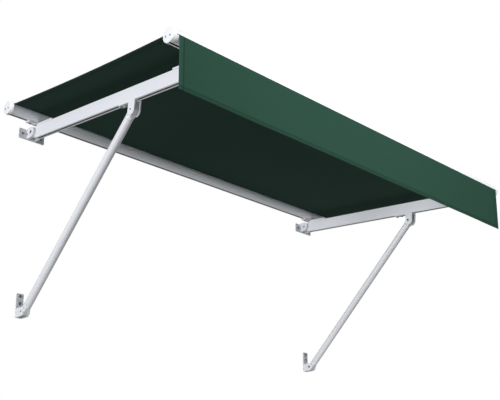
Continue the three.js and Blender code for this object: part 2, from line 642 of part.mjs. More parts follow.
for (const side of SIDES) {
  add(frame, `beam_${side.name}`, beamGeometry(), COATED, side.x);
  add(frame, `beam_hinge_plug_${side.name}`, hingePlugGeometry(), CASTING, side.x);
  add(frame, `beam_end_cap_${side.name}`, beamEndCapGeometry(), PLASTIC, side.x);

  add(frame, `clevis_${side.name}`, clevisGeometry(), CASTING, side.x, -UPPER_PIVOT.out, UPPER_PIVOT.up);
  add(frame, `clevis_pivot_bolt_${side.name}`, pivotBoltGeometry(side.outward), STEEL,
    side.x, -UPPER_PIVOT.out, UPPER_PIVOT.up);
  add(frame, `slot_nut_bar_${side.name}`, slotNutGeometry(), STEEL, side.x);
  for (const [index, out] of CLEVIS_BOLTS.entries()) {
    add(frame, `slot_screw_${side.name}_${index + 1}`, slotScrewGeometry(), STEEL, side.x, -out);
  }

  add(awning, `wall_bracket_${side.name}`, wallBracketGeometry(side.outward), CASTING, side.x);
  add(awning, `hinge_bolt_${side.name}`, hingeBoltGeometry(side.outward), STEEL, side.x, -HINGE_OUT);
  for (const [label, offset] of [['a', -WALL_SCREW.side], ['b', WALL_SCREW.side]]) {
    add(awning, `wall_screw_${side.name}_${label}`, wallScrewGeometry(WALL_PLATE.thickness), STEEL,
      side.x + offset, 0, WALL_SCREW.up);
  }

  add(awning, `foot_bracket_${side.name}`, footBracketGeometry(), CASTING, side.x);
  add(awning, `foot_pivot_bolt_${side.name}`, pivotBoltGeometry(side.outward), STEEL,
    side.x, -FOOT_PIVOT.out, FOOT_PIVOT.up);
  for (const [index, up] of FOOT_SCREWS.entries()) {
    add(awning, `foot_screw_${side.name}_${index + 1}`, wallScrewGeometry(FOOT_PLATE.thickness), STEEL,
      side.x, 0, up);
  }

  const strut = new THREE.Group();
  strut.position.set(side.x, -FOOT_PIVOT.out, FOOT_PIVOT.up);
  strut.rotation.x = STRUT_LEAN;
  awning.add(strut);
  const tubeEnd = STRUT_LENGTH - STRUT_TUBE_FROM_PIVOT;
  const tube = tubeGeometry(STRUT_RADIUS, STRUT_WALL, STRUT_TUBE_FROM_PIVOT, tubeEnd, 32);
  add(strut, `strut_tube_${side.name}`, tube, TUBE);
  add(strut, `strut_lower_plug_${side.name}`, strutPlugGeometry(TONGUE_HOLE.lower), CASTING);
  const upperPlug = strutPlugGeometry(TONGUE_HOLE.upper).rotateX(Math.PI);
  add(strut, `strut_upper_plug_${side.name}`, upperPlug, CASTING, 0, 0, STRUT_LENGTH);
}

export default awning;
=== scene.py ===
# %% [markdown]
# # A fixed-frame wall awning
# The awning is a green cloth stretched between two round white rails. Two slotted side beams carry the
# rails, hinge on wall brackets and stand on sloping struts, and a short valance hangs from the front
# rail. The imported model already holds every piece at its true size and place, so each step below makes
# the finished shape of one piece where its plain solid lies, and gives it the finish it has in life.

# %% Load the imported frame
import json
import math

import bmesh
import bpy
from mathutils import Euler, Matrix, Vector


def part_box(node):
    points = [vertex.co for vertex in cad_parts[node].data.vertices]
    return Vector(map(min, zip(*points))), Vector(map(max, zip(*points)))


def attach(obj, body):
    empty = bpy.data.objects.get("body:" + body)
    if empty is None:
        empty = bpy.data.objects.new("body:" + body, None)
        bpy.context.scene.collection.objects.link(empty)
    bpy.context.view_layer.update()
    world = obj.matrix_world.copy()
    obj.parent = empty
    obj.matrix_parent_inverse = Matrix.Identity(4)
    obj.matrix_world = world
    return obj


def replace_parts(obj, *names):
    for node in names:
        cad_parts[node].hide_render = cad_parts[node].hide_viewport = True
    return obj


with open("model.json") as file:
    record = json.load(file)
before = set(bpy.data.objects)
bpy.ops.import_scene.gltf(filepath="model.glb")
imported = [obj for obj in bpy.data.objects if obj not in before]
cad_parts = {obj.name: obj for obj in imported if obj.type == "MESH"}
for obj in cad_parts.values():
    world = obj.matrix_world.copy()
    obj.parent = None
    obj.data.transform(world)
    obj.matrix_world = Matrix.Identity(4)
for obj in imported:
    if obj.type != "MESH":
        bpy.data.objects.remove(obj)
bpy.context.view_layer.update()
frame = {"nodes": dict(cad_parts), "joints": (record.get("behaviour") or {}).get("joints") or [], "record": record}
MM = 0.001

# %% [markdown]
# ## The lines that everything is set out from
# The roof turns about the wall brackets' bolts and falls gently to the front. Drawing it level and
# turning it once is far easier than drawing on a slope, so the tilting pieces are modelled about the
# hinge line with Z across the beam, and each strut about its foot bolt with Z along the tube. The
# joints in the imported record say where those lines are.

# %% Set-out lines from the joints
JOINTS = {joint["name"]: joint for joint in frame["joints"]}
hinge = Vector(JOINTS["frame_tilt"]["pos_m"])
slope = Vector(JOINTS["clevis_slide_left"]["axis"])
TILT = math.atan2(-slope.z, -slope.y)
ROOF = Matrix.Translation((0, hinge.y, hinge.z)) @ Matrix.Rotation(TILT, 4, "X")
SIDES = {"left": -1, "right": 1}


def middle(node):
    """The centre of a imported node's box."""
    low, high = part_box(node)
    return (Vector(low) + Vector(high)) / 2


def in_roof(point):
    """A point of the world as the level roof drawing has it."""
    return ROOF.inverted() @ Vector(point)


BEAM_X = {side: middle(f"beam_{side}").x for side in SIDES}
RAIL_AXIS = {end: in_roof(middle(f"{end}_rail_cap_left")) for end in ("rear", "front")}
RAIL_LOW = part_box("front_rail_cap_left")[0][0]
RAIL_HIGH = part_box("front_rail_cap_right")[1][0]
RAIL_MIDDLE = (RAIL_LOW + RAIL_HIGH) / 2
PIVOT = {side: in_roof(middle(f"clevis_pivot_bolt_{side}")) for side in SIDES}
FOOT = {side: Vector(JOINTS[f"strut_swing_{side}"]["pos_m"]) for side in SIDES}
upper = ROOF @ Vector((BEAM_X["left"], PIVOT["left"].y, PIVOT["left"].z))
strut_run = upper - FOOT["left"]
STRUT_LENGTH = math.hypot(strut_run.y, strut_run.z)
STRUT_LEAN = math.atan2(-strut_run.y, strut_run.z)
print("tilt", round(math.degrees(TILT), 2), "strut", round(STRUT_LENGTH, 4))

# %% [markdown]
# ## Finishes
# A few finishes cover the whole awning. Each starts from what the real surface is and how it was made.
# One function turns sRGB hex colours to linear, and one adds a node with its settings and links, so
# that every material below reads as a short list of what it is made of.

# %% Colour and node helpers


def linear(code):
    """An sRGB hex colour such as "e8e9eb" as linear RGBA."""
    parts = [int(code[i:i + 2], 16) / 255 for i in (0, 2, 4)]
    return [c / 12.92 if c <= 0.04045 else ((c + 0.055) / 1.055) ** 2.4 for c in parts] + [1.0]


def add(tree, kind, inputs=None, **settings):
    """A new node with its settings; each input is a value or another node's output."""
    made = tree.nodes.new(kind)
    for name, value in settings.items():
        setattr(made, name, value)
    for name, value in (inputs or {}).items():
        if isinstance(value, bpy.types.NodeSocket):
            tree.links.new(value, made.inputs[name])
        else:
            made.inputs[name].default_value = value
    return made


def new_finish(name, **sockets):
    """A material whose principled shader has these uniform values."""
    material = bpy.data.materials.new(name)
    material.use_nodes = True
    shader = material.node_tree.nodes["Principled BSDF"]
    for socket, value in sockets.items():
        shader.inputs[socket.replace("_", " ")].default_value = value
    return material, material.node_tree, shader


def between(tree, factor, low, high):
    """Two hex colours mixed by a factor."""
    mix = add(tree, "ShaderNodeMix", data_type="RGBA")
    tree.links.new(factor, mix.inputs[0])
    mix.inputs[6].default_value = linear(low)
    mix.inputs[7].default_value = linear(high)
    return mix.outputs[2]


print("mid grey is", round(linear("808080")[0], 3), "linear")

# %% [markdown]
# ### Powder coat on aluminium
# Rails and beams are extrusions, sprayed with white polyester powder and baked. The film flows into a
# faint orange peel with cells of about 2 mm, satin rather than glossy. A noise of that size drives both
# a very low bump and a small spread of roughness. Castings get the same coat over a sand-blasted skin,
# so their grain is rougher. The strut tubes wear a smoother, slightly greyer one without any peel. The
# film is never quite even, so the white also drifts a little over each sixth of a metre.

# %% Coated metals
CLOUD_MM = 1000 / 6


def coated(name, low, high, roughness, cell_mm, height_mm):
    """A sprayed or moulded skin: its grain's cell and height, and the slow drift of its colour."""
    material, tree, shader = new_finish(name, Metallic=0.0, IOR=1.5)
    place = add(tree, "ShaderNodeTexCoord").outputs["Object"]
    peel = add(tree, "ShaderNodeTexNoise", {"Vector": place, "Scale": 1 / (cell_mm * MM), "Detail": 2.0})
    broad = add(tree, "ShaderNodeTexNoise", {"Vector": place, "Scale": 1 / (CLOUD_MM * MM), "Detail": 3.0})
    spread = add(tree, "ShaderNodeMapRange", {
        "Value": peel.outputs["Fac"], "To Min": roughness - 0.04, "To Max": roughness + 0.05})
    tree.links.new(between(tree, broad.outputs["Fac"], low, high), shader.inputs["Base Color"])
    tree.links.new(spread.outputs["Result"], shader.inputs["Roughness"])
    if height_mm:
        bump = add(tree, "ShaderNodeBump", {
            "Height": peel.outputs["Fac"], "Distance": height_mm * MM, "Strength": 0.6})
        tree.links.new(bump.outputs["Normal"], shader.inputs["Normal"])
    return material


powder_coat = coated("white_polyester_powder_coat", "e4e5e8", "ebecee", 0.36, 2.0, 0.006)
coated_casting = coated("powder_coat_on_blasted_casting", "e0e1e3", "e9eaeb", 0.45, 1.2, 0.006)
coated_tube = coated("smooth_coat_on_tube", "dcdcde", "e4e4e6", 0.28, 3.0, 0.0)
print("coats", powder_coat.name, coated_casting.name, coated_tube.name)

# %% [markdown]
# ### Dark metal inside the slots: painted shade
# The spray doesn't reach into the narrow slots and grooves, so their walls stay mill-finish aluminium,
# with fine lines that the die drew along the bar. The lines lie about 0.4 mm apart, and are drawn at
# 1.6 mm and 60 mm long. The metal is given a dull grey far darker than bare aluminium. That is painted shade,
# standing in for the shadow deep in the slots, and it is what makes the slots read as dark lines along
# the white bars.

# %% Dark slot metal, painted shade
DIE_LINE_MM = 1.5625
DIE_LINE_LONG_MM = 62.5


def slot_shade_finish(name):
    material, tree, shader = new_finish(name, Metallic=1.0)
    place = add(tree, "ShaderNodeTexCoord").outputs["Object"]
    drawn = add(tree, "ShaderNodeMapping", {
        "Vector": place, "Scale": (1.0, 1.0, DIE_LINE_LONG_MM / DIE_LINE_MM)})
    lines = add(tree, "ShaderNodeTexNoise", {
        "Vector": drawn.outputs["Vector"], "Scale": 1000 / DIE_LINE_LONG_MM, "Detail": 3.0})
    spread = add(tree, "ShaderNodeMapRange", {"Value": lines.outputs["Fac"], "To Min": 0.42, "To Max": 0.6})
    # Painted shade: a dull grey much darker than bare aluminium, standing in for the shadow deep in the slots.
    tree.links.new(between(tree, lines.outputs["Fac"], "4c4e51", "66686b"), shader.inputs["Base Color"])
    tree.links.new(spread.outputs["Result"], shader.inputs["Roughness"])
    return material


slot_shade_metal = slot_shade_finish("slot_metal_painted_shade")
print("bare metal", slot_shade_metal.name)

# %% [markdown]
# ### Moulded caps and zinc-plated fasteners
# The caps are white ABS, moulded in a tool with a fine spark-eroded grain; 0.4 mm grain would vanish, so
# it is drawn at 1 mm. Screws and bolts are steel with bright zinc plating, which is a metal with a soft
# sheen, in blotches of about 5 mm where the passivation varies.

# %% Plastic and steel
BLOTCH_MM = 5.0
abs_plastic = coated("moulded_white_abs", "eeeeee", "f2f2f2", 0.42, 1.0, 0.004)


def zinc_plate(name):
    material, tree, shader = new_finish(name, Metallic=1.0)
    place = add(tree, "ShaderNodeTexCoord").outputs["Object"]
    blotch = add(tree, "ShaderNodeTexNoise", {"Vector": place, "Scale": 1 / (BLOTCH_MM * MM), "Detail": 4.0})
    spread = add(tree, "ShaderNodeMapRange", {"Value": blotch.outputs["Fac"], "To Min": 0.26, "To Max": 0.42})
    tree.links.new(between(tree, blotch.outputs["Fac"], "8f9297", "b5b6b4"), shader.inputs["Base Color"])
    tree.links.new(spread.outputs["Result"], shader.inputs["Roughness"])
    return material


zinc = zinc_plate("bright_zinc_plate")
print("plastic and plating", abs_plastic.name, zinc.name)

# %% [markdown]
# ### Woven acrylic
# Awning cloth is solution-dyed acrylic in plain weave: matt, with a faint nap. Its threads lie 0.5 mm
# apart, far finer than a view of the whole awning can show, so the weave is drawn at 2 mm. Warp and weft
# are two bands of waves on the sheet's own UV map, which is in metres, so they follow the cloth. Uneven
# yarn gives long slubs along the weft, a slow stretched noise. A little sheen stands for the nap. Along
# each row of stitches the colour is darkened over a few millimetres. That is painted shade for the pucker where
# the seam draws the cloth in. That shade needs the seams' places, so the sizes that both cloths are cut to come
# first. The roof and the valance are one cloth, but the roof's green is made a little darker. That is painted
# shade for the roof's unlit underside.

# %% The cloths' sizes and seams
ROOF_HALF = 1231.0
ROOF_HEM = 24.0
VALANCE_HALF = 1219.0
DROP = 243.0
SIDE_HEM = 28.0
FOOT_HEM = 18.0
POCKET_RUN = 55.0
ROOF_SEAM = ROOF_HALF - ROOF_HEM + 4
VALANCE_SEAM = VALANCE_HALF - SIDE_HEM + 3
FOOT_SEAM = DROP - FOOT_HEM + 3
NO_SEAM = -1000.0
print("side seams", ROOF_SEAM, "and", VALANCE_SEAM, "mm from the middle, foot seam", FOOT_SEAM, "mm down")

# %% Cloth
THREAD_MM = 2.0
SLUB_LONG_MM = 1000 / 3
SLUB_WIDE_MM = 6.25
SEAM_SHADE_MM = 5.0
# The wave node turns 20 radians in a metre at scale 1. One wave is two threads, one over and one under.
WAVE_TURN = 20.0


def painted_seam_shade(tree, along, seam):
    """How much painted shade a seam's pucker gets: 1 at a seam that lies so many millimetres along one direction
    of the cloth, 0 beside it.
    """
    apart = add(tree, "ShaderNodeMath", {0: along, 1: seam * MM}, operation="SUBTRACT")
    apart = add(tree, "ShaderNodeMath", {0: apart.outputs[0]}, operation="ABSOLUTE")
    return add(tree, "ShaderNodeMapRange", {
        "Value": apart.outputs[0], "From Max": SEAM_SHADE_MM * MM,
        "To Min": 1.0, "To Max": 0.0}).outputs["Result"]


def acrylic(name, low, high, side_seam, foot_seam):
    """Cloth with painted seam shade at a seam so far from its middle on both sides, and one so far along it, in
    millimetres.
    """
    material, tree, shader = new_finish(name, Roughness=0.92, Sheen_Weight=0.04, Sheen_Roughness=0.6)
    shader.inputs["Sheen Tint"].default_value = linear("9fb8ac")
    shader.inputs["Specular IOR Level"].default_value = 0.06
    uv = add(tree, "ShaderNodeUVMap", uv_map="cloth").outputs["UV"]
    wave = math.pi / (THREAD_MM * MM * WAVE_TURN)
    bands = [add(tree, "ShaderNodeTexWave", {"Vector": uv, "Scale": wave},
                 wave_type="BANDS", bands_direction=axis) for axis in "XY"]
    weave = add(tree, "ShaderNodeMath", {0: bands[0].outputs["Fac"], 1: bands[1].outputs["Fac"]},
                operation="MULTIPLY")
    stretch = add(tree, "ShaderNodeMapping", {
        "Vector": uv, "Scale": (1000 / SLUB_LONG_MM, 1000 / SLUB_WIDE_MM, 1.0)})
    slub = add(tree, "ShaderNodeTexNoise", {"Vector": stretch.outputs["Vector"], "Scale": 1.0, "Detail": 4.0})
    fade = add(tree, "ShaderNodeMath", {
        0: weave.outputs[0], 1: slub.outputs["Fac"], 2: 0.12}, operation="MULTIPLY_ADD")
    tone = add(tree, "ShaderNodeMapRange", {"Value": fade.outputs[0], "From Max": 0.7})
    bump = add(tree, "ShaderNodeBump", {"Height": weave.outputs[0], "Distance": 0.25 * MM, "Strength": 0.5})
    across = add(tree, "ShaderNodeSeparateXYZ", {0: uv})
    half = add(tree, "ShaderNodeMath", {0: across.outputs["X"]}, operation="ABSOLUTE")
    # Painted shade: the colour is darkened by up to a half along each seam's row of stitches.
    seams = add(tree, "ShaderNodeMath", {
        0: painted_seam_shade(tree, half.outputs[0], side_seam),
        1: painted_seam_shade(tree, across.outputs["Y"], foot_seam)}, operation="MAXIMUM")
    seam_shade_factor = add(tree, "ShaderNodeMath", {0: seams.outputs[0], 1: -0.5, 2: 1.0}, operation="MULTIPLY_ADD")
    shade = add(tree, "ShaderNodeVectorMath", {
        0: between(tree, tone.outputs["Result"], low, high), "Scale": seam_shade_factor.outputs[0]}, operation="SCALE")
    tree.links.new(shade.outputs["Vector"], shader.inputs["Base Color"])
    tree.links.new(bump.outputs["Normal"], shader.inputs["Normal"])
    return material


# The roof's green is a little darker than the valance's although both are one cloth: painted shade for the roof's
# underside.
roof_acrylic_painted_shade = acrylic("darker_green_acrylic_roof_painted_shade", "1f332b", "283f36", ROOF_SEAM, NO_SEAM)
valance_acrylic = acrylic("dark_green_woven_acrylic_valance", "233f33", "2a4c3e", VALANCE_SEAM,
                          POCKET_RUN + FOOT_SEAM)
print("cloth", roof_acrylic_painted_shade.name, valance_acrylic.name)

# %% [markdown]
# ### Which piece gets which
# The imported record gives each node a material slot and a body. The slot's name picks the finish from
# this list, so a piece is always finished and carried as the record says, and neither is typed twice.

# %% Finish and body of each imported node
FINISHES = {
    "coated_aluminium": powder_coat,
    "coated_tube": coated_tube,
    "cast_aluminium": coated_casting,
    "white_plastic": abs_plastic,
    "zinc_steel": zinc,
    "roof_cloth": roof_acrylic_painted_shade,
    "valance_cloth": valance_acrylic,
}
SLOT_OF = {part["node"]: part["material_slot"] for part in frame["record"]["subparts"]}
BODY_OF = {node: body for body, nodes in frame["record"]["behaviour"]["bodies"].items() for node in nodes}

# %% [markdown]
# ## Modelling helpers
# Almost every metal piece here is one of three things: a section run along a line, a profile turned
# about an axis, or a few such bodies joined and drilled. So there is one helper for each, made from
# bmesh operators. They all work in millimetres, and a piece goes to metres and to its place at the end.
# A section's outline is a closed row of points, with its round stretches from one arc formula. Its one
# face is extruded in a single step along X, outwards or upwards, which keeps its sides clean.

# %% Sections run along a line


def arc(y, z, radius, start, end, steps):
    """Points on a circle about (y, z), angles in degrees."""
    turns = [math.radians(start + (end - start) * i / steps) for i in range(steps + 1)]
    return [(y + radius * math.cos(t), z + radius * math.sin(t)) for t in turns]


LAY = {
    "X": lambda a, b, along: (along, a, b),
    "out": lambda a, b, along: (a, -along, b),
    "Z": lambda a, b, along: (a, b, along),
}


def run_section(points, start, end, axis="X"):
    """A closed section in millimetres: (Y, Z) run along X, (X, Z) run outwards, or (X, Y) run upwards."""
    bm = bmesh.new()
    ring = [bm.verts.new(LAY[axis](a, b, start)) for a, b in points]
    face = bm.faces.new(ring)
    made = bmesh.ops.extrude_face_region(bm, geom=[face])
    moved = [v for v in made["geom"] if isinstance(v, bmesh.types.BMVert)]
    bmesh.ops.translate(bm, vec=LAY[axis](0, 0, end - start), verts=moved)
    bmesh.ops.recalc_face_normals(bm, faces=bm.faces)
    return bm


print("a quarter turn in four steps has", len(arc(0, 0, 1, 0, 90, 4)), "points")

# %% [markdown]
# ### Turned forms, blocks and bars
# What a lathe makes is half a profile spun about the axis. Its ends lie on the axis and the spin merges
# its seam, so the form comes out closed. Blocks and bars come from the cube and cone operators.

# %% Turned forms, blocks and bars


def turned(profile, steps=48):
    """A profile of (radius, height) pairs in millimetres, spun about Z. It starts and ends on the axis."""
    bm = bmesh.new()
    line = [bm.verts.new((radius, 0, height)) for radius, height in profile]
    edges = [bm.edges.new(pair) for pair in zip(line, line[1:])]
    bmesh.ops.spin(bm, geom=line + edges, axis=(0, 0, 1), cent=(0, 0, 0), angle=math.tau,
                   steps=steps, use_merge=True)
    bmesh.ops.remove_doubles(bm, verts=bm.verts, dist=1e-4)
    bmesh.ops.recalc_face_normals(bm, faces=bm.faces)
    return bm


def block(low, high):
    """A box between two corners."""
    bm = bmesh.new()
    low, high = Vector(low), Vector(high)
    size = Matrix.Diagonal((*(high - low), 1))
    bmesh.ops.create_cube(bm, size=1, matrix=Matrix.Translation((low + high) / 2) @ size)
    return bm


def aimed(bm, direction, start=(0, 0, 0)):
    """A shape drawn along Z, turned to a direction and started at a point."""
    turn = Vector(direction).to_track_quat("Z", "Y").to_matrix().to_4x4()
    bmesh.ops.transform(bm, matrix=Matrix.Translation(start) @ turn, verts=bm.verts)
    return bm


def rod(radius, start, end, sides=32):
    """A round or many-sided bar between two points."""
    start, end = Vector(start), Vector(end)
    bm = bmesh.new()
    bmesh.ops.create_cone(bm, cap_ends=True, segments=sides, radius1=radius, radius2=radius,
                          depth=(end - start).length)
    return aimed(bm, end - start, (start + end) / 2)


print("a turned pin has", len(turned([(0, 0), (1, 0), (1, 2), (0, 2)], 8).faces), "faces")

# %% [markdown]
# ### Joining, drilling and rounding
# The exact boolean joins and cuts these bodies as welding and drilling would. It works on objects, so
# the shapes are lent to throwaway ones. Sharp edges are then rounded over by a millimetre or less,
# because real edges are never sharp and it is the rounding that catches the light.

# %% Joining and drilling


def scratch(bm):
    """A throwaway object for a boolean."""
    mesh = bpy.data.meshes.new("scratch")
    bm.to_mesh(mesh)
    bm.free()
    made = bpy.data.objects.new("scratch", mesh)
    bpy.context.scene.collection.objects.link(made)
    return made


def combine(base, tools, operation):
    """The base with each tool joined to it (UNION) or cut from it (DIFFERENCE)."""
    body = scratch(base)
    cutters = [scratch(tool) for tool in tools]
    for cutter in cutters:
        step = body.modifiers.new("step", "BOOLEAN")
        step.operation = operation
        step.object = cutter
        step.solver = "EXACT"
    shape = body.evaluated_get(bpy.context.evaluated_depsgraph_get())
    bm = bmesh.new()
    bm.from_mesh(shape.data)
    for item in [body, *cutters]:
        mesh = item.data
        bpy.data.objects.remove(item)
        bpy.data.meshes.remove(mesh)
    bmesh.ops.remove_doubles(bm, verts=bm.verts, dist=1e-3)
    return bm


def join(base, *tools):
    return combine(base, tools, "UNION")


def drill(base, *tools):
    return combine(base, tools, "DIFFERENCE")


# %% Rounding


def round_edges(bm, radius, segments=2, angle=28):
    """Rounds every edge that is sharper than the angle."""
    bmesh.ops.dissolve_limit(bm, angle_limit=math.radians(1), verts=bm.verts, edges=bm.edges)
    sharp = [e for e in bm.edges if len(e.link_faces) == 2 and e.calc_face_angle() > math.radians(angle)]
    bmesh.ops.bevel(bm, geom=sharp, offset=radius, offset_type="OFFSET", segments=segments, profile=0.5,
                    affect="EDGES", clamp_overlap=True, material=-1)
    return bm


def round_corners(bm, axis, radius, segments=4):
    """Rounds the edges that run along one axis, as a plate's corners are."""
    way = Vector(axis)
    along = [e for e in bm.edges if (e.verts[1].co - e.verts[0].co).normalized().cross(way).length < 1e-3]
    bmesh.ops.bevel(bm, geom=along, offset=radius, offset_type="OFFSET", segments=segments, profile=0.5,
                    affect="EDGES", clamp_overlap=True, material=-1)
    return bm


print("a rounded block has", len(round_edges(block((0, 0, 0), (9, 9, 9)), 1).faces), "faces")

# %% [markdown]
# ### Placing a finished piece
# A finished piece keeps its object at the origin and has its place in its mesh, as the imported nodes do.
# Its flat faces are shaded flat and its rounded edges smooth, by sharp edges and weighted normals. Each
# one prints its faces, its open edges, which should be none, and its size.

# %% Placing a finished piece


def make_piece(bm, name, slot, body, place):
    """Puts a shape drawn in millimetres at its place, with its finish, on its body."""
    bmesh.ops.transform(bm, matrix=place @ Matrix.Scale(MM, 4), verts=bm.verts)
    bmesh.ops.recalc_face_normals(bm, faces=bm.faces)
    unclosed = sum(1 for e in bm.edges if len(e.link_faces) != 2)
    mesh = bpy.data.meshes.new(name)
    bm.to_mesh(mesh)
    bm.free()
    mesh.materials.append(FINISHES[slot])
    # Faces marked inside a slot get the dark slot metal, which is painted shade.
    if any(face.material_index for face in mesh.polygons):
        mesh.materials.append(slot_shade_metal)
    mesh.shade_smooth()
    mesh.set_sharp_from_angle(angle=math.radians(32))
    made = bpy.data.objects.new(name, mesh)
    bpy.context.scene.collection.objects.link(made)
    made.modifiers.new("flat_faces", "WEIGHTED_NORMAL").keep_sharp = True
    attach(made, body)
    size = [round(side / MM) for side in made.dimensions]
    print(f"  {name}: {len(mesh.polygons)} faces, {unclosed} open edges, {size} mm")
    return made


def stand_in(bm, node, place):
    """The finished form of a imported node, with its slot, body and place."""
    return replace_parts(make_piece(bm, f"{node}_made", SLOT_OF[node], BODY_OF[node], place), node)


def paint_slot_shade(bm, inside):
    """Faces inside a slot or groove take the second finish, a dark metal that is painted shade."""
    for face in bm.faces:
        if inside(face.calc_center_median()):
            face.material_index = 1
    return bm


def at_roof(x=0.0, out=0.0, up=0.0, turn=0.0):
    """A place in the roof drawing: metres along the wall, outwards from the hinge and across the beam."""
    return ROOF @ Matrix.Translation((x, -out, up)) @ Matrix.Rotation(math.radians(turn), 4, "Z")


# %% [markdown]
# ## The rails
# Each rail is one aluminium extrusion, about 68 mm round, cut off square. Its section does all the work:
# a narrow groove holds the roof's bead, another the valance's, and a T-slot in its flat foot takes the
# seat bolts. A lathe can't make that, so the section is drawn once, from arcs, and run along the rail.
# The rear rail is the same bar turned end for end.

# %% T-slot
SLOT_HALF = 10.5
SLOT_DEPTH = 7.0


def t_slot(mouth, base, lip):
    """The outline of a T-slot in a foot at this height, by half its mouth and its lips' thickness."""
    top = base + lip + SLOT_DEPTH
    return [(-mouth, base), (-mouth, base + lip), (-SLOT_HALF, base + lip), (-SLOT_HALF, top),
            (SLOT_HALF, top), (SLOT_HALF, base + lip), (mouth, base + lip), (mouth, base)]


print("a T-slot's outline has", len(t_slot(1, 0, 1)), "points")

# %% Rail section
RAIL_RADIUS = 34.0
RAIL_FOOT = 31.2
RAIL_LIP = 2.2
RAIL_MOUTH = 6.0
GROOVE = 4.0
MOUTH = 2.8
CLOTH_GROOVE = (21.0, 19.0)
VALANCE_GROOVE = (-27.5, 0.0)
CAP_DISC = 4.0
GAP = 0.3


def degrees_at(height, radius=RAIL_RADIUS):
    return math.degrees(math.asin(height / radius))


def rail_section():
    foot = math.degrees(math.acos(RAIL_FOOT / RAIL_RADIUS))
    mouth = degrees_at(MOUTH / 2, GROOVE)
    y, z = CLOTH_GROOVE
    points = arc(0, 0, RAIL_RADIUS, -90 + foot, degrees_at(z - MOUTH / 2), 22)
    points += arc(y, z, GROOVE, -mouth, mouth - 360, 14)
    points += arc(0, 0, RAIL_RADIUS, degrees_at(z + MOUTH / 2), 180 - degrees_at(MOUTH / 2), 36)
    points += arc(*VALANCE_GROOVE, GROOVE, 180 - mouth, mouth - 180, 14)
    points += arc(0, 0, RAIL_RADIUS, 180 + degrees_at(MOUTH / 2), 270 - foot, 22)
    return points + t_slot(RAIL_MOUTH, -RAIL_FOOT, RAIL_LIP)


def inside_rail(spot):
    return math.hypot(spot.y, spot.z) < RAIL_RADIUS - 0.6 and spot.z > -RAIL_FOOT + 0.6


def make_rail(end, turn):
    half = (RAIL_HIGH - RAIL_LOW) / MM / 2 - CAP_DISC - GAP
    bm = paint_slot_shade(round_edges(run_section(rail_section(), -half, half), 0.5), inside_rail)
    axis = RAIL_AXIS[end]
    return stand_in(bm, f"{end}_rail", at_roof(RAIL_MIDDLE, -axis.y, axis.z, turn))


for end, turn in (("rear", 180), ("front", 0)):
    make_rail(end, turn)

# %% [markdown]
# ## Rail caps
# Each rail end wears a moulded cap: a disc a little wider than the rail, with a shallow dome, rounded at
# the rim, and a sleeve that hugs the rail. That is a turned form, so its half section is spun once. The
# sleeve is then cut open over the T-slot, and two self-tapping screws hold the cap to the rail's ports.

# %% Caps and their screws
CAP_RADIUS = 36.0
CAP_DEPTH = 18.0
SCREW_PORT = (14.0, -6.0)


def rail_cap():
    """A cap drawn along Z from its outer face, its T-slot opening towards -Y."""
    inside = RAIL_RADIUS + GAP
    profile = [(0, 0), (20, 0.15), (32, 0.5), (34.6, 1.2), (35.7, 2.4), (CAP_RADIUS, 4),
               (CAP_RADIUS, CAP_DEPTH - 0.6), (CAP_RADIUS - 0.6, CAP_DEPTH), (inside, CAP_DEPTH),
               (inside, CAP_DISC), (0, CAP_DISC)]
    opening = block((-SLOT_HALF, -CAP_RADIUS - 1, CAP_DISC), (SLOT_HALF, -22, CAP_DEPTH + 1))
    return drill(turned(profile, 64), opening)


def cross_screw():
    """A pan-head screw with a cross recess, seated at the origin, its head along Z."""
    head = turned([(0, 0), (4.2, 0), (4.2, 0.9), (3.8, 1.7), (2.6, 2.3), (0, 2.5)], 24)
    recess = [block((-2.2, -0.45, 1.1), (2.2, 0.45, 4)), block((-0.45, -2.2, 1.1), (0.45, 2.2, 4))]
    return join(drill(head, *recess), rod(1.8, (0, 0, 0.5), (0, 0, -22), 12))


for end, axis in RAIL_AXIS.items():
    for side, out in SIDES.items():
        face = RAIL_LOW if out < 0 else RAIL_HIGH
        stand_in(aimed(rail_cap(), (-out, 0, 0)), f"{end}_rail_cap_{side}", at_roof(face, -axis.y, axis.z))
        for label, across in (("a", SCREW_PORT[0]), ("b", -SCREW_PORT[0])):
            screw = aimed(cross_screw(), (out, 0, 0), (0, across, SCREW_PORT[1]))
            stand_in(screw, f"{end}_cap_screw_{side}_{label}", at_roof(face, -axis.y, axis.z))

# %% [markdown]
# ## Side beams
# The beams are rectangular extrusions, 30 by 68 mm, with a T-slot along the top and the same along the
# bottom. The section is the same either way up, so half of its outline is drawn and the other half is
# that half turned. The corners are rounded over 2 mm: that rounding gives the bright line along each edge.

# %% Beam section and end cap
BEAM_HALF_WIDTH = 15.0
BEAM_HALF_HEIGHT = 34.0
BEAM_REAR = 34.0
BEAM_FRONT = 1331.0
BEAM_CORNER = 2.0
BEAM_LIP = 2.0
BEAM_MOUTH = 4.5
BEAM_CAP = 3.0


def beam_section():
    base = -BEAM_HALF_HEIGHT
    inset = BEAM_HALF_WIDTH - BEAM_CORNER
    half = arc(-inset, base + BEAM_CORNER, BEAM_CORNER, 180, 270, 3)
    half += t_slot(BEAM_MOUTH, base, BEAM_LIP)
    half += arc(inset, base + BEAM_CORNER, BEAM_CORNER, 270, 360, 3)
    return half + [(-x, -z) for x, z in half]


def end_cap():
    """The moulded plate over the beam's front end, with a low dished centre."""
    back = -BEAM_FRONT - GAP
    cap = block((-BEAM_HALF_WIDTH, back - BEAM_CAP, -BEAM_HALF_HEIGHT),
                (BEAM_HALF_WIDTH, back, BEAM_HALF_HEIGHT))
    cap = round_edges(round_corners(cap, (0, 1, 0), BEAM_CORNER), 0.6)
    front = max(cap.faces, key=lambda face: -face.calc_center_median().y)
    bmesh.ops.inset_individual(cap, faces=[front], thickness=3, depth=-0.5)
    return cap


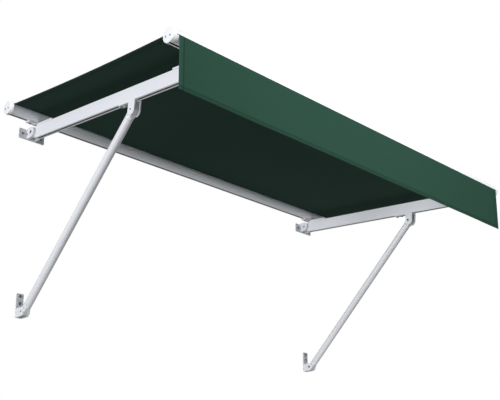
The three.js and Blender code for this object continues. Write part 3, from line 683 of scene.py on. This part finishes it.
def inside_beam(spot):
    return abs(spot.x) < SLOT_HALF + 0.1 and 24 < abs(spot.z) < BEAM_HALF_HEIGHT - 0.5


for side in SIDES:
    beam = round_edges(run_section(beam_section(), BEAM_REAR, BEAM_FRONT, "out"), 0.35, angle=40)
    stand_in(paint_slot_shade(beam, inside_beam), f"beam_{side}", at_roof(BEAM_X[side]))
    stand_in(end_cap(), f"beam_end_cap_{side}", at_roof(BEAM_X[side]))

# %% [markdown]
# ## Hinges on the wall
# The beam's rear end is closed by a cast plug with a round knuckle. The knuckle turns between the two
# thick round ears of the wall bracket, on a socket-head bolt sunk into the outer ear. All of these are
# aluminium castings, so after the blocks and ears are joined and drilled, every edge is rounded, and
# the same bevel leaves a fillet where an ear meets its plate, as a casting must have.

# %% Knuckle, bracket and bolt
EAR_RADIUS = 29.0
EAR_INNER = 13.6
EAR_OUTER = 28.0
BOLT = 6.0
BOLT_HEAD = 9.5
RECESS = 6.0
KNUCKLE_RADIUS = 26.0
WALL_OUT = -hinge.y / MM
PLATE = 6.0
SCREW_HOLE = 3.6
WALL_SCREWS = {"a": -52, "b": 52}
WALL_SCREW_UP = -6.0


def ear_outline(y, z, radius, back):
    """A round nose towards -Y about (y, z), carried straight back to a plate."""
    return [(back, z + radius)] + arc(y, z, radius, 90, 270, 28) + [(back, z - radius)]


def hinge_plug():
    face = BEAM_REAR - GAP
    flange = block((-BEAM_HALF_WIDTH, -face, -BEAM_HALF_HEIGHT),
                   (BEAM_HALF_WIDTH, -face + 4, BEAM_HALF_HEIGHT))
    flange = round_corners(flange, (0, 1, 0), BEAM_CORNER)
    outline = [(-face + 2, -KNUCKLE_RADIUS)] + arc(0, 0, KNUCKLE_RADIUS, -90, 90, 28)
    outline += [(-face + 2, KNUCKLE_RADIUS)]
    knuckle = run_section(outline, GAP - EAR_INNER, EAR_INNER - GAP)
    return round_edges(drill(join(flange, knuckle), rod(BOLT + GAP, (-20, 0, 0), (20, 0, 0))), 0.9)


def wall_bracket(out):
    """The bracket about the hinge line, its bolt recess on the side away from the awning's middle."""
    plate = round_corners(block((-75, WALL_OUT - PLATE, -34), (75, WALL_OUT, 21)), (0, 1, 0), 5)
    outline = ear_outline(0, 0, EAR_RADIUS, WALL_OUT - 3)
    ears = [run_section(outline, *sorted((s * EAR_INNER, s * EAR_OUTER))) for s in (-1, 1)]
    holes = [rod(SCREW_HOLE, (x, WALL_OUT - 10, WALL_SCREW_UP), (x, WALL_OUT + 4, WALL_SCREW_UP), 24)
             for x in WALL_SCREWS.values()]
    recess = rod(BOLT_HEAD + GAP, (out * (EAR_OUTER - RECESS), 0, 0), (out * (EAR_OUTER + 1), 0, 0), 48)
    shaped = drill(join(plate, *ears), rod(BOLT + GAP, (-30, 0, 0), (30, 0, 0)), recess, *holes)
    return round_edges(shaped, 1.3, 3)


def socket_bolt():
    """A socket-head bolt seated at the origin, its head along Z."""
    head = turned([(0, 0), (BOLT_HEAD, 0), (BOLT_HEAD, 4.4), (BOLT_HEAD - 0.6, 5), (0, 5)])
    bolt = join(head, rod(BOLT, (0, 0, 0.5), (0, 0, -49.2)))
    return round_edges(drill(bolt, rod(4.6, (0, 0, 1.5), (0, 0, 6), 6)), 0.3)


for side, out in SIDES.items():
    at_wall = Matrix.Translation((BEAM_X[side], hinge.y, hinge.z))
    stand_in(hinge_plug(), f"beam_hinge_plug_{side}", at_roof(BEAM_X[side]))
    stand_in(wall_bracket(out), f"wall_bracket_{side}", at_wall)
    seat = (out * (EAR_OUTER - RECESS + GAP), 0, 0)
    stand_in(aimed(socket_bolt(), (out, 0, 0), seat), f"hinge_bolt_{side}", at_wall)

# %% [markdown]
# ## Hexagon screws
# All the other fasteners are hexagon bolts and screws. A real hexagon head is cut from bar and
# chamfered in a lathe, which leaves a round crown with six scooped flats. Intersecting a hexagonal bar
# with a turned chamfer form gives just that, at the same sizes as the real ones.

# %% Hexagon screws in the brackets


def hex_screw(head, height, shank, length, washer=0.0):
    """A hexagon screw seated at the origin, its head along Z, with a pressed washer if it has a size."""
    crown = [(0, -1), (head + 1, -1), (head + 1, height - 1.4), (head * 0.84, height), (0, height)]
    screw = combine(rod(head, (0, 0, 0), (0, 0, height + 1), 6), [turned(crown)], "INTERSECT")
    parts = [rod(shank, (0, 0, 0.5), (0, 0, -length), 24)]
    if washer:
        parts.append(turned([(0, 0), (washer, 0), (washer, 0.9), (head, 1.7), (0, 1.7)], 40))
    return round_edges(join(screw, *parts), 0.2)


def plate_screw(across, up):
    """A washer-head screw through a bracket's plate, pointing into the wall."""
    screw = hex_screw(head=6, height=5.8, shank=3.2, length=6, washer=8)
    return aimed(screw, (0, -1, 0), (across, -PLATE - GAP, up))


FOOT_SCREWS = {"1": -872, "2": -909}

for side in SIDES:
    on_wall = Matrix.Translation((BEAM_X[side], 0, 0))
    for label, across in WALL_SCREWS.items():
        stand_in(plate_screw(across, WALL_SCREW_UP), f"wall_screw_{side}_{label}", on_wall)
    for label, up in FOOT_SCREWS.items():
        stand_in(plate_screw(0, up), f"foot_screw_{side}_{label}", on_wall)

# %% [markdown]
# ## Seat plates
# A T-shaped plate joins each beam to each rail. Its cross-bar lies under the rail, bolted up into the
# rail's slot, and its stem lies on the beam, bolted down into the beam's slot. It is a flat plate with
# rounded corners, so its outline is run upwards by its thickness. The sixteen bolts aren't in the packed
# model, so they are extra pieces here, and they ride with the roof.

# %% Seat plates and bolts
SEAT_LOW = BEAM_HALF_HEIGHT + GAP
SEAT_HIGH = SEAT_LOW + 8.5
STEM = {"rear": (142.0, -1), "front": (180.0, 1)}
BAR_BOLT = 50.0
STEM_BOLTS = (18.0, 70.0)


def seat_plate(reach, way):
    outline = [(-70, -18), (70, -18), (70, 18), (15, 18), (15, reach), (-15, reach), (-15, 18), (-70, 18)]
    plate = run_section([(x, y * way) for x, y in outline], SEAT_LOW, SEAT_HIGH, "Z")
    return round_edges(round_corners(plate, (0, 0, 1), 4), 0.7)


for end, (reach, way) in STEM.items():
    for side in SIDES:
        place = at_roof(BEAM_X[side], -RAIL_AXIS[end].y)
        stand_in(seat_plate(reach, way), f"{end}_seat_plate_{side}", place)
        spots = [((x, 0, SEAT_LOW), -1) for x in (-BAR_BOLT, BAR_BOLT)]
        spots += [((0, way * (reach - back), SEAT_HIGH), 1) for back in STEM_BOLTS]
        for number, (spot, up) in enumerate(spots, 1):
            bolt = aimed(hex_screw(head=7, height=5.3, shank=4, length=15), (0, 0, up), spot)
            make_piece(bolt, f"{end}_seat_bolt_{side}_{number}", "zinc_steel", "frame", place)

# %% [markdown]
# ## Clevises under the beams
# Each strut ends in a casting that clamps to the beam's lower slot: a flat base with two bolts, and two
# round-nosed ears with the pivot bolt between them. It is blocked out, joined, drilled and rounded like
# the wall bracket.

# %% Clevis, pivot bolt and slot bolts
FORK_INNER = 13.0
FORK_OUTER = 19.0
PIVOT_RADIUS = 4.0
CLEVIS_EAR = (-856.0, -84.0, 24.0)
CLEVIS_BOLTS = {"1": 758, "2": 792}
CLEVIS_TOP = -BEAM_HALF_HEIGHT - GAP
CLEVIS_BASE = 5.5


def clevis(pivot):
    """The clevis in the roof drawing, about the hinge line."""
    y, z, radius = CLEVIS_EAR
    under = CLEVIS_TOP - CLEVIS_BASE
    base = round_corners(block((-15, -880, under), (15, -745, CLEVIS_TOP)), (0, 0, 1), 4)
    web = block((-FORK_OUTER, y - radius, under), (FORK_OUTER, y + radius, CLEVIS_TOP))
    outline = [(y - radius, CLEVIS_TOP - 1)] + arc(y, z, radius, 180, 360, 28)
    outline += [(y + radius, CLEVIS_TOP - 1)]
    ears = [run_section(outline, *sorted((s * FORK_INNER, s * FORK_OUTER))) for s in (-1, 1)]
    hole = rod(PIVOT_RADIUS + GAP, (-25, pivot.y / MM, pivot.z / MM), (25, pivot.y / MM, pivot.z / MM))
    return round_edges(drill(join(base, web, *ears), hole), 0.9, 3)


def pivot_bolt(out):
    """A bolt through a fork along X, its hexagon on the inner side."""
    bolt = hex_screw(head=7, height=5, shank=PIVOT_RADIUS, length=2 * FORK_OUTER + 1.8)
    return aimed(bolt, (-out, 0, 0), (-out * (FORK_OUTER + GAP), 0, 0))


for side, out in SIDES.items():
    stand_in(clevis(PIVOT[side]), f"clevis_{side}", at_roof(BEAM_X[side]))
    at_pivot = at_roof(BEAM_X[side], -PIVOT[side].y, PIVOT[side].z)
    stand_in(pivot_bolt(out), f"clevis_pivot_bolt_{side}", at_pivot)
    for label, reach in CLEVIS_BOLTS.items():
        bolt = hex_screw(head=7, height=5.5, shank=4, length=14)
        bolt = aimed(bolt, (0, 0, -1), (0, -reach, CLEVIS_TOP - CLEVIS_BASE - GAP))
        stand_in(bolt, f"slot_screw_{side}_{label}", at_roof(BEAM_X[side]))

# %% [markdown]
# ## Foot brackets
# Low on the wall, each strut stands in a small forked bracket with a tall plate, and two screws above the
# fork hold it. It is a casting like the wall bracket, so it is made in the same way: a plate and two ears
# are joined, drilled in one go and rounded. Its two D-shaped ears reuse the wall bracket's outline.

# %% Foot brackets
FOOT_EAR = 23.0


def foot_bracket(out, up):
    plate = round_corners(block((-20, -PLATE, up - FOOT_EAR), (20, 0, up + 102)), (0, 1, 0), 5)
    outline = ear_outline(-out, up, FOOT_EAR, -3)
    ears = [run_section(outline, *sorted((s * FORK_INNER, s * FORK_OUTER))) for s in (-1, 1)]
    holes = [rod(PIVOT_RADIUS + GAP, (-25, -out, up), (25, -out, up))]
    holes += [rod(SCREW_HOLE, (0, -10, z), (0, 2, z), 24) for z in FOOT_SCREWS.values()]
    return round_edges(drill(join(plate, *ears), *holes), 0.9, 3)


for side, out in SIDES.items():
    foot = FOOT[side]
    bracket = foot_bracket(-foot.y / MM, foot.z / MM)
    stand_in(bracket, f"foot_bracket_{side}", Matrix.Translation((BEAM_X[side], 0, 0)))
    at_foot = Matrix.Translation((BEAM_X[side], foot.y, foot.z))
    stand_in(pivot_bolt(out), f"foot_pivot_bolt_{side}", at_foot)

# %% [markdown]
# ## Struts
# A strut is a plain round tube with a cast plug in each end. The plug's collar is as wide as the tube,
# so only a fine line shows between them, and its flat tongue stands in the fork. The tube's profile is
# spun about the strut's axis. Its bore can't be seen behind the plugs, so it is only cut a short way in.
# The upper tongue has the wider hole, which leaves the strut's head free as the roof tilts.

# %% Tubes and plugs
TUBE_RADIUS = 20.0
TUBE_FROM_PIVOT = 46.0
COLLAR_LINE = 1.4
TONGUE_HALF = 12.7
TONGUE_RADIUS = 18.0
SHOULDER = 31.0
LOWER_HOLE = PIVOT_RADIUS + GAP
UPPER_HOLE = 6.8
BORE_DEPTH = 6.0


def strut_tube(start, end):
    inside = TUBE_RADIUS - 2
    return turned([(0, start + BORE_DEPTH), (inside, start + BORE_DEPTH), (inside, start),
                   (TUBE_RADIUS - COLLAR_LINE, start), (TUBE_RADIUS, start + COLLAR_LINE),
                   (TUBE_RADIUS, end - COLLAR_LINE), (TUBE_RADIUS - COLLAR_LINE, end),
                   (inside, end), (inside, end - BORE_DEPTH), (0, end - BORE_DEPTH)], 64)


def strut_plug(hole):
    collar = TUBE_FROM_PIVOT - GAP
    sleeve = turned([(0, SHOULDER - 5), (15, SHOULDER - 4), (18.6, SHOULDER - 1),
                     (TUBE_RADIUS, SHOULDER + 2.5),
                     (TUBE_RADIUS, collar - COLLAR_LINE), (TUBE_RADIUS - COLLAR_LINE, collar),
                     (0, collar)], 64)
    outline = [(TONGUE_RADIUS, SHOULDER + 2), (-TONGUE_RADIUS, SHOULDER + 2)]
    outline += arc(0, 0, TONGUE_RADIUS, 180, 360, 28)
    tongue = run_section(outline, -TONGUE_HALF, TONGUE_HALF)
    shaped = drill(join(tongue, sleeve), rod(hole, (-15, 0, 0), (15, 0, 0)))
    return round_edges(shaped, 0.7)


for side in SIDES:
    stands = Matrix.Translation((BEAM_X[side], FOOT[side].y, FOOT[side].z))
    along = stands @ Matrix.Rotation(STRUT_LEAN, 4, "X")
    length = STRUT_LENGTH / MM
    stand_in(strut_tube(TUBE_FROM_PIVOT, length - TUBE_FROM_PIVOT), f"strut_tube_{side}", along)
    stand_in(strut_plug(LOWER_HOLE), f"strut_lower_plug_{side}", along)
    head = along @ Matrix.Translation((0, 0, STRUT_LENGTH)) @ Matrix.Rotation(math.pi, 4, "X")
    stand_in(strut_plug(UPPER_HOLE), f"strut_upper_plug_{side}", head)

# %% [markdown]
# ## The nut bars
# The bars that the clevis bolts thread into lie hidden in the beams' slots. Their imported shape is
# already right, so they are kept and only get their zinc.

# %% Nut bars
for side in SIDES:
    nut = frame["nodes"][f"slot_nut_bar_{side}"]
    nut.data.materials.clear()
    nut.data.materials.append(zinc)

# %% [markdown]
# ## Sheets of cloth
# Both cloths are single sheets with a rod sewn into each held edge, slid into the rails' grooves. The
# section of such a sheet is one line: round the rod, out through the groove's mouth and on. So a grid is
# moved to that line, and each corner keeps its distance along the cloth as UV, in metres, for the weave.
# Solidify then gives it thickness. Hems are narrower sheets against the first one. A shape function
# bends all of them alike, so they stay together.

# %% Sheet helper
CLOTH = 0.9
ROD = 2.6
POCKET = 26.0


def woven(name, slot, left, right, line, columns, place, shape):
    """A sheet from left to right in X whose section is a line of (y, z) points, all in millimetres."""
    lengths = [0.0]
    for a, b in zip(line, line[1:]):
        lengths.append(lengths[-1] + math.dist(a, b))
    rows = len(line) - 1
    bm = bmesh.new()
    bmesh.ops.create_grid(bm, x_segments=columns, y_segments=rows, size=1)
    uv = bm.loops.layers.uv.new("cloth")
    spots = {v: (left + (right - left) * (v.co.x + 1) / 2, round((v.co.y + 1) / 2 * rows)) for v in bm.verts}
    for face in bm.faces:
        for loop in face.loops:
            x, row = spots[loop.vert]
            loop[uv].uv = (x * MM, lengths[row] * MM)
    for vert, (x, row) in spots.items():
        vert.co = shape(Vector((x, *line[row])))
    bmesh.ops.transform(bm, matrix=place @ Matrix.Scale(MM, 4), verts=bm.verts)
    mesh = bpy.data.meshes.new(name)
    bm.to_mesh(mesh)
    bm.free()
    mesh.materials.append(FINISHES[slot])
    mesh.shade_smooth()
    sheet = bpy.data.objects.new(name, mesh)
    bpy.context.scene.collection.objects.link(sheet)
    thickness = sheet.modifiers.new("thickness", "SOLIDIFY")
    thickness.thickness = CLOTH * MM
    thickness.offset = 0
    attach(sheet, "frame")
    print(f"  {name}: {len(mesh.polygons)} faces, flat {right - left:.0f} by {lengths[-1]:.0f} mm")
    return sheet, ((right - left) * MM, lengths[-1] * MM)


print("cloth", CLOTH, "mm thick round a rod of", 2 * ROD, "mm")

# %% [markdown]
# ### Thread
# Seams are lockstitched with polyester thread. Each stitch shows as a short raised grain, so a row is
# made of small ellipsoids, one to a stitch, that follow the cloth's own shape.

# %% Stitches and their thread


def sewn(name, slot, runs, place, shape, pitch=8.0, length=5.0, thread=1.0):
    """Rows of stitches, each row between two points. The thread is drawn thick enough to be seen."""
    bm = bmesh.new()
    for start, end in runs:
        start, end = Vector(start), Vector(end)
        count = int((end - start).length / pitch)
        for i in range(count):
            a = shape(start.lerp(end, i / count))
            b = shape(start.lerp(end, (i + length / pitch) / count))
            turn = (b - a).to_track_quat("X", "Z").to_matrix().to_4x4()
            size = Matrix.Diagonal(((b - a).length, thread, thread, 1))
            bmesh.ops.create_uvsphere(bm, u_segments=6, v_segments=4, radius=0.5,
                                      matrix=Matrix.Translation((a + b) / 2) @ turn @ size)
    row = make_piece(bm, name, slot, "frame", place)
    row.data.materials[0] = thread_finish
    return row


def thread_material():
    """Spun polyester sewing thread, a little darker than the cloth, with a soft fuzz."""
    material, tree, shader = new_finish("spun_polyester_thread", Roughness=0.8, Sheen_Weight=0.1)
    place = add(tree, "ShaderNodeTexCoord").outputs["Object"]
    fuzz = add(tree, "ShaderNodeTexNoise", {"Vector": place, "Scale": 1 / (1.5 * MM), "Detail": 2.0})
    tree.links.new(between(tree, fuzz.outputs["Fac"], "14231d", "22352c"), shader.inputs["Base Color"])
    return material


thread_finish = thread_material()
print("thread", thread_finish.name)

# %% [markdown]
# ## The roof cloth
# The cloth is stretched from groove to groove, but three square metres of acrylic still sag a
# few millimetres between the rails, and the sag pulls its free edges in a little. A cloth simulation
# would only find this same shallow curve, so the curve is drawn directly.

# %% Roof cloth
SAG = 7.0
WAIST = 3.0
CREASE = 0.35
GROOVE_UP = RAIL_AXIS["rear"].z / MM + CLOTH_GROOVE[1]
REAR_HELD = RAIL_AXIS["rear"].y / MM - CLOTH_GROOVE[0]
FRONT_HELD = RAIL_AXIS["front"].y / MM + CLOTH_GROOVE[0]
SPAN_ROWS = 44
at_middle = at_roof(RAIL_MIDDLE)


def stretched(point):
    """Where a point of the flat, level roof lies once the cloth hangs in its grooves."""
    share = min(max((point.y - REAR_HELD) / (FRONT_HELD - REAR_HELD), 0), 1)
    bow = 4 * share * (1 - share)
    crease = CREASE * math.sin(point.x / 120) * math.sin(point.x / 47 + 1.3) * bow
    return Vector((point.x * (1 - WAIST * bow / ROOF_HALF), point.y, point.z - SAG * bow + crease))


def roof_line():
    level = GROOVE_UP - CLOTH / 2 - 0.05
    above = GROOVE_UP + CLOTH / 2 + 0.05
    around = ROD + CLOTH / 2 + 0.1
    start, end = REAR_HELD - 5, FRONT_HELD + 5
    line = [(REAR_HELD - POCKET, above), (start, above)]
    line += arc(REAR_HELD, GROOVE_UP, around, 165, -165, 14)
    line += [(start + (end - start) * i / SPAN_ROWS, level) for i in range(SPAN_ROWS + 1)]
    line += arc(FRONT_HELD, GROOVE_UP, around, -15, -345, 14)
    return line + [(end, above), (FRONT_HELD + POCKET, above)]


roof_sheet, roof_flat = woven("roof_sheet", "roof_cloth", -ROOF_HALF, ROOF_HALF, roof_line(), 90,
                              at_middle, stretched)
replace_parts(roof_sheet, "roof_cloth")

# %% Its side hems, thread and rods
roof_extras = []
under = GROOVE_UP - 1.5 * CLOTH - 0.15
for side, out in SIDES.items():
    edges = sorted((out * ROOF_HALF, out * (ROOF_HALF - ROOF_HEM)))
    run = (REAR_HELD - 10, FRONT_HELD + 10)
    line = [(run[0] + (run[1] - run[0]) * i / SPAN_ROWS, under) for i in range(SPAN_ROWS + 1)]
    hem, _ = woven(f"roof_hem_{side}", "roof_cloth", *edges, line, 3, at_middle, stretched)
    x = out * ROOF_SEAM
    runs = [((x, run[0], z), (x, run[1], z)) for z in (under - CLOTH / 2, GROOVE_UP - 0.05)]
    roof_extras += [hem, sewn(f"roof_hem_thread_{side}", "roof_cloth", runs, at_middle, stretched)]
for end, y in (("rear", REAR_HELD), ("front", FRONT_HELD)):
    rod_form = round_edges(rod(ROD, (-ROOF_HALF, y, GROOVE_UP), (ROOF_HALF, y, GROOVE_UP), 20), 0.4)
    roof_extras.append(make_piece(rod_form, f"roof_rod_{end}", "white_plastic", "frame", at_middle))

# %% [markdown]
# ## The valance
# The valance hangs plumb from the front rail's groove although the rail is tilted. Its foot is turned up
# behind in an 18 mm hem, part of the same sheet, and each side has a narrow hem. A hanging strip is
# never quite flat: it waves by a millimetre or two towards its foot, so a few long sine waves that grow
# with the drop are enough.

# %% Valance
VALANCE_OUT = 36.6
VALANCE_ROWS = 16
WAVES = ((1.3, 150, 0.6), (0.7, 61, 2.0))
fall, rise = math.sin(TILT), math.cos(TILT)
at_front_rail = at_roof(RAIL_MIDDLE, -RAIL_AXIS["front"].y, RAIL_AXIS["front"].z)


def plumb(down, out):
    """The (y, z) of a point so far down the valance and so far out from its middle plane."""
    return (-VALANCE_OUT - down * fall - out * rise, -down * rise + out * fall)


def hanging(point):
    """The valance's long shallow waves."""
    grown = max(-point.z, 0) / DROP
    wave = sum(height * math.sin(point.x / length + start) for height, length, start in WAVES)
    return point + Vector((0, wave * grown ** 1.5, 0))


def valance_line():
    around = ROD + CLOTH / 2 + 0.1
    y, z = VALANCE_GROOVE
    face, back = CLOTH / 2 + 0.05, -CLOTH / 2 - 0.05
    line = [plumb(POCKET, back), plumb(3, back), (-VALANCE_OUT + 1.2, -face), (-RAIL_RADIUS, -face)]
    line += arc(y, z, around, -165, 165, 14)
    line += [(-RAIL_RADIUS, face), (-VALANCE_OUT + 0.8, face), plumb(0.6, face - 0.1)]
    line += [plumb(3 + (DROP - 3) * i / VALANCE_ROWS, face) for i in range(VALANCE_ROWS + 1)]
    return line + [plumb(DROP + 0.4, 0), plumb(DROP, back), plumb(DROP - FOOT_HEM, back)]


valance_sheet, valance_flat = woven("valance_sheet", "valance_cloth", -VALANCE_HALF, VALANCE_HALF,
                                    valance_line(), 160, at_front_rail, hanging)
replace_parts(valance_sheet, "valance")

# %% Its side hems, thread and rod
behind = -1.5 * CLOTH - 0.15
for side, out in SIDES.items():
    edges = sorted((out * VALANCE_HALF, out * (VALANCE_HALF - SIDE_HEM)))
    length = DROP - FOOT_HEM - 8
    line = [plumb(6 + length * i / VALANCE_ROWS, behind + 0.95) for i in range(VALANCE_ROWS + 1)]
    hem, _ = woven(f"valance_hem_{side}", "valance_cloth", *edges, line, 2, at_front_rail, hanging)
seam = plumb(FOOT_SEAM, CLOTH)
runs = [((-VALANCE_HALF, *seam), (VALANCE_HALF, *seam))]
for out in SIDES.values():
    x = out * VALANCE_SEAM
    runs.append(((x, *plumb(6, CLOTH)), (x, *plumb(DROP - 2, CLOTH))))
sewn("valance_thread", "valance_cloth", runs, at_front_rail, hanging)
rod_form = rod(ROD, (-VALANCE_HALF - 6, *VALANCE_GROOVE), (VALANCE_HALF + 6, *VALANCE_GROOVE), 20)
rod_form = round_edges(rod_form, 0.4)
make_piece(rod_form, "valance_rod", "white_plastic", "frame", at_front_rail)

# %% [markdown]
# ## The floor
# The awning hangs at its mounting height over a plain pale floor of matt paint. One large square from
# the grid operator is enough, with a slow mottle of its two greys, as rolled paint has.

# %% Floor
FLOOR_HEIGHT = -2.45
FLOOR_HALF = 40.0
MOTTLE_MM = 2000 / 3
bm = bmesh.new()
bmesh.ops.create_grid(bm, x_segments=1, y_segments=1, size=FLOOR_HALF)
bmesh.ops.translate(bm, vec=(0, 0, FLOOR_HEIGHT), verts=bm.verts)
floor_mesh = bpy.data.meshes.new("studio_floor")
bm.to_mesh(floor_mesh)
bm.free()
floor_finish, floor_tree, floor_shader = new_finish("matt_pale_floor", Roughness=0.9)
place = add(floor_tree, "ShaderNodeTexCoord").outputs["Object"]
mottle = add(floor_tree, "ShaderNodeTexNoise", {"Vector": place, "Scale": 1000 / MOTTLE_MM, "Detail": 3.0})
floor_tone = between(floor_tree, mottle.outputs["Fac"], "e4e4e2", "eaeae8")
floor_tree.links.new(floor_tone, floor_shader.inputs["Base Color"])
floor_mesh.materials.append(floor_finish)
floor = bpy.data.objects.new("studio_floor", floor_mesh)
bpy.context.scene.collection.objects.link(floor)
print("floor at", FLOOR_HEIGHT, "m")

# %% [markdown]
# ## Light
# The world lights everything gently from all sides, and only what the camera sees of it is pure white,
# which a light path node sorts out. A large soft light stands in front and above, and leaves the struts
# in the roof's shadow. A second one, far off to the left and low, reaches in under the roof and models
# the struts and beams. Both are narrow beams, because light that fell on the floor would bounce up and
# turn the underside of the roof pale.

# %% World
AMBIENT = 0.34
scene = bpy.context.scene
scene.view_settings.view_transform = "Standard"
world = bpy.data.worlds.new("soft_studio")
world.use_nodes = True
scene.world = world
sky = world.node_tree
seen = sky.nodes["Background"]
seen.inputs["Color"].default_value = linear("ffffff")
soft = add(sky, "ShaderNodeBackground", {"Color": linear("f2f5fa"), "Strength": AMBIENT})
path = add(sky, "ShaderNodeLightPath")
choose = add(sky, "ShaderNodeMixShader", {
    0: path.outputs["Is Camera Ray"], 1: soft.outputs[0], 2: seen.outputs[0]})
sky.links.new(choose.outputs[0], sky.nodes["World Output"].inputs["Surface"])
print("ambient light", AMBIENT)

# %% Lights


def soft_light(name, place, target, size, spread, power, tint="ffffff"):
    """A round soft box with a honeycomb grid, which keeps its beam off the floor under the awning."""
    lamp = bpy.data.lights.new(name, "AREA")
    lamp.shape = "DISK"
    lamp.size = size
    lamp.spread = math.radians(spread)
    lamp.energy = power
    lamp.color = linear(tint)[:3]
    light = bpy.data.objects.new(name, lamp)
    light.location = place
    light.rotation_euler = (Vector(target) - Vector(place)).to_track_quat("-Z", "Y").to_euler()
    scene.collection.objects.link(light)
    print(name, power, "W at", [round(c, 2) for c in place])


AIM = (RAIL_MIDDLE, -0.7, -0.2)
soft_light("key", (0.2, -7.0, 3.2), AIM, size=3.0, spread=50, power=56)
soft_light("left_light", (-14.0, -2.2, -1.2), AIM, size=3.0, spread=25, power=41, tint="f8faff")

# %% [markdown]
# ## Camera
# The camera stands low, to the left and in front, and looks up under the roof. Its angles are in
# degrees, a heading to the right of straight at the wall and a pitch above level. A small vertical
# shift slides the frame up in place of more tilt, so that upright lines lean less.

# %% Camera
CAMERA_PLACE = (-2.2770, -3.9175, -2.0298)
CAMERA_YAW = 44.811
CAMERA_PITCH = 16.152
CAMERA_LENS = 65.64
CAMERA_SHIFT = 0.15
SENSOR_WIDTH = 36
camera_data = bpy.data.cameras.new("camera")
camera_data.sensor_width = SENSOR_WIDTH
camera_data.lens = CAMERA_LENS
camera_data.shift_y = CAMERA_SHIFT
camera = bpy.data.objects.new("camera", camera_data)
camera.location = CAMERA_PLACE
camera.rotation_euler = Euler((math.radians(90 + CAMERA_PITCH), 0, math.radians(-CAMERA_YAW)))
scene.collection.objects.link(camera)
scene.camera = camera
print("camera", CAMERA_PLACE, "lens", CAMERA_LENS)
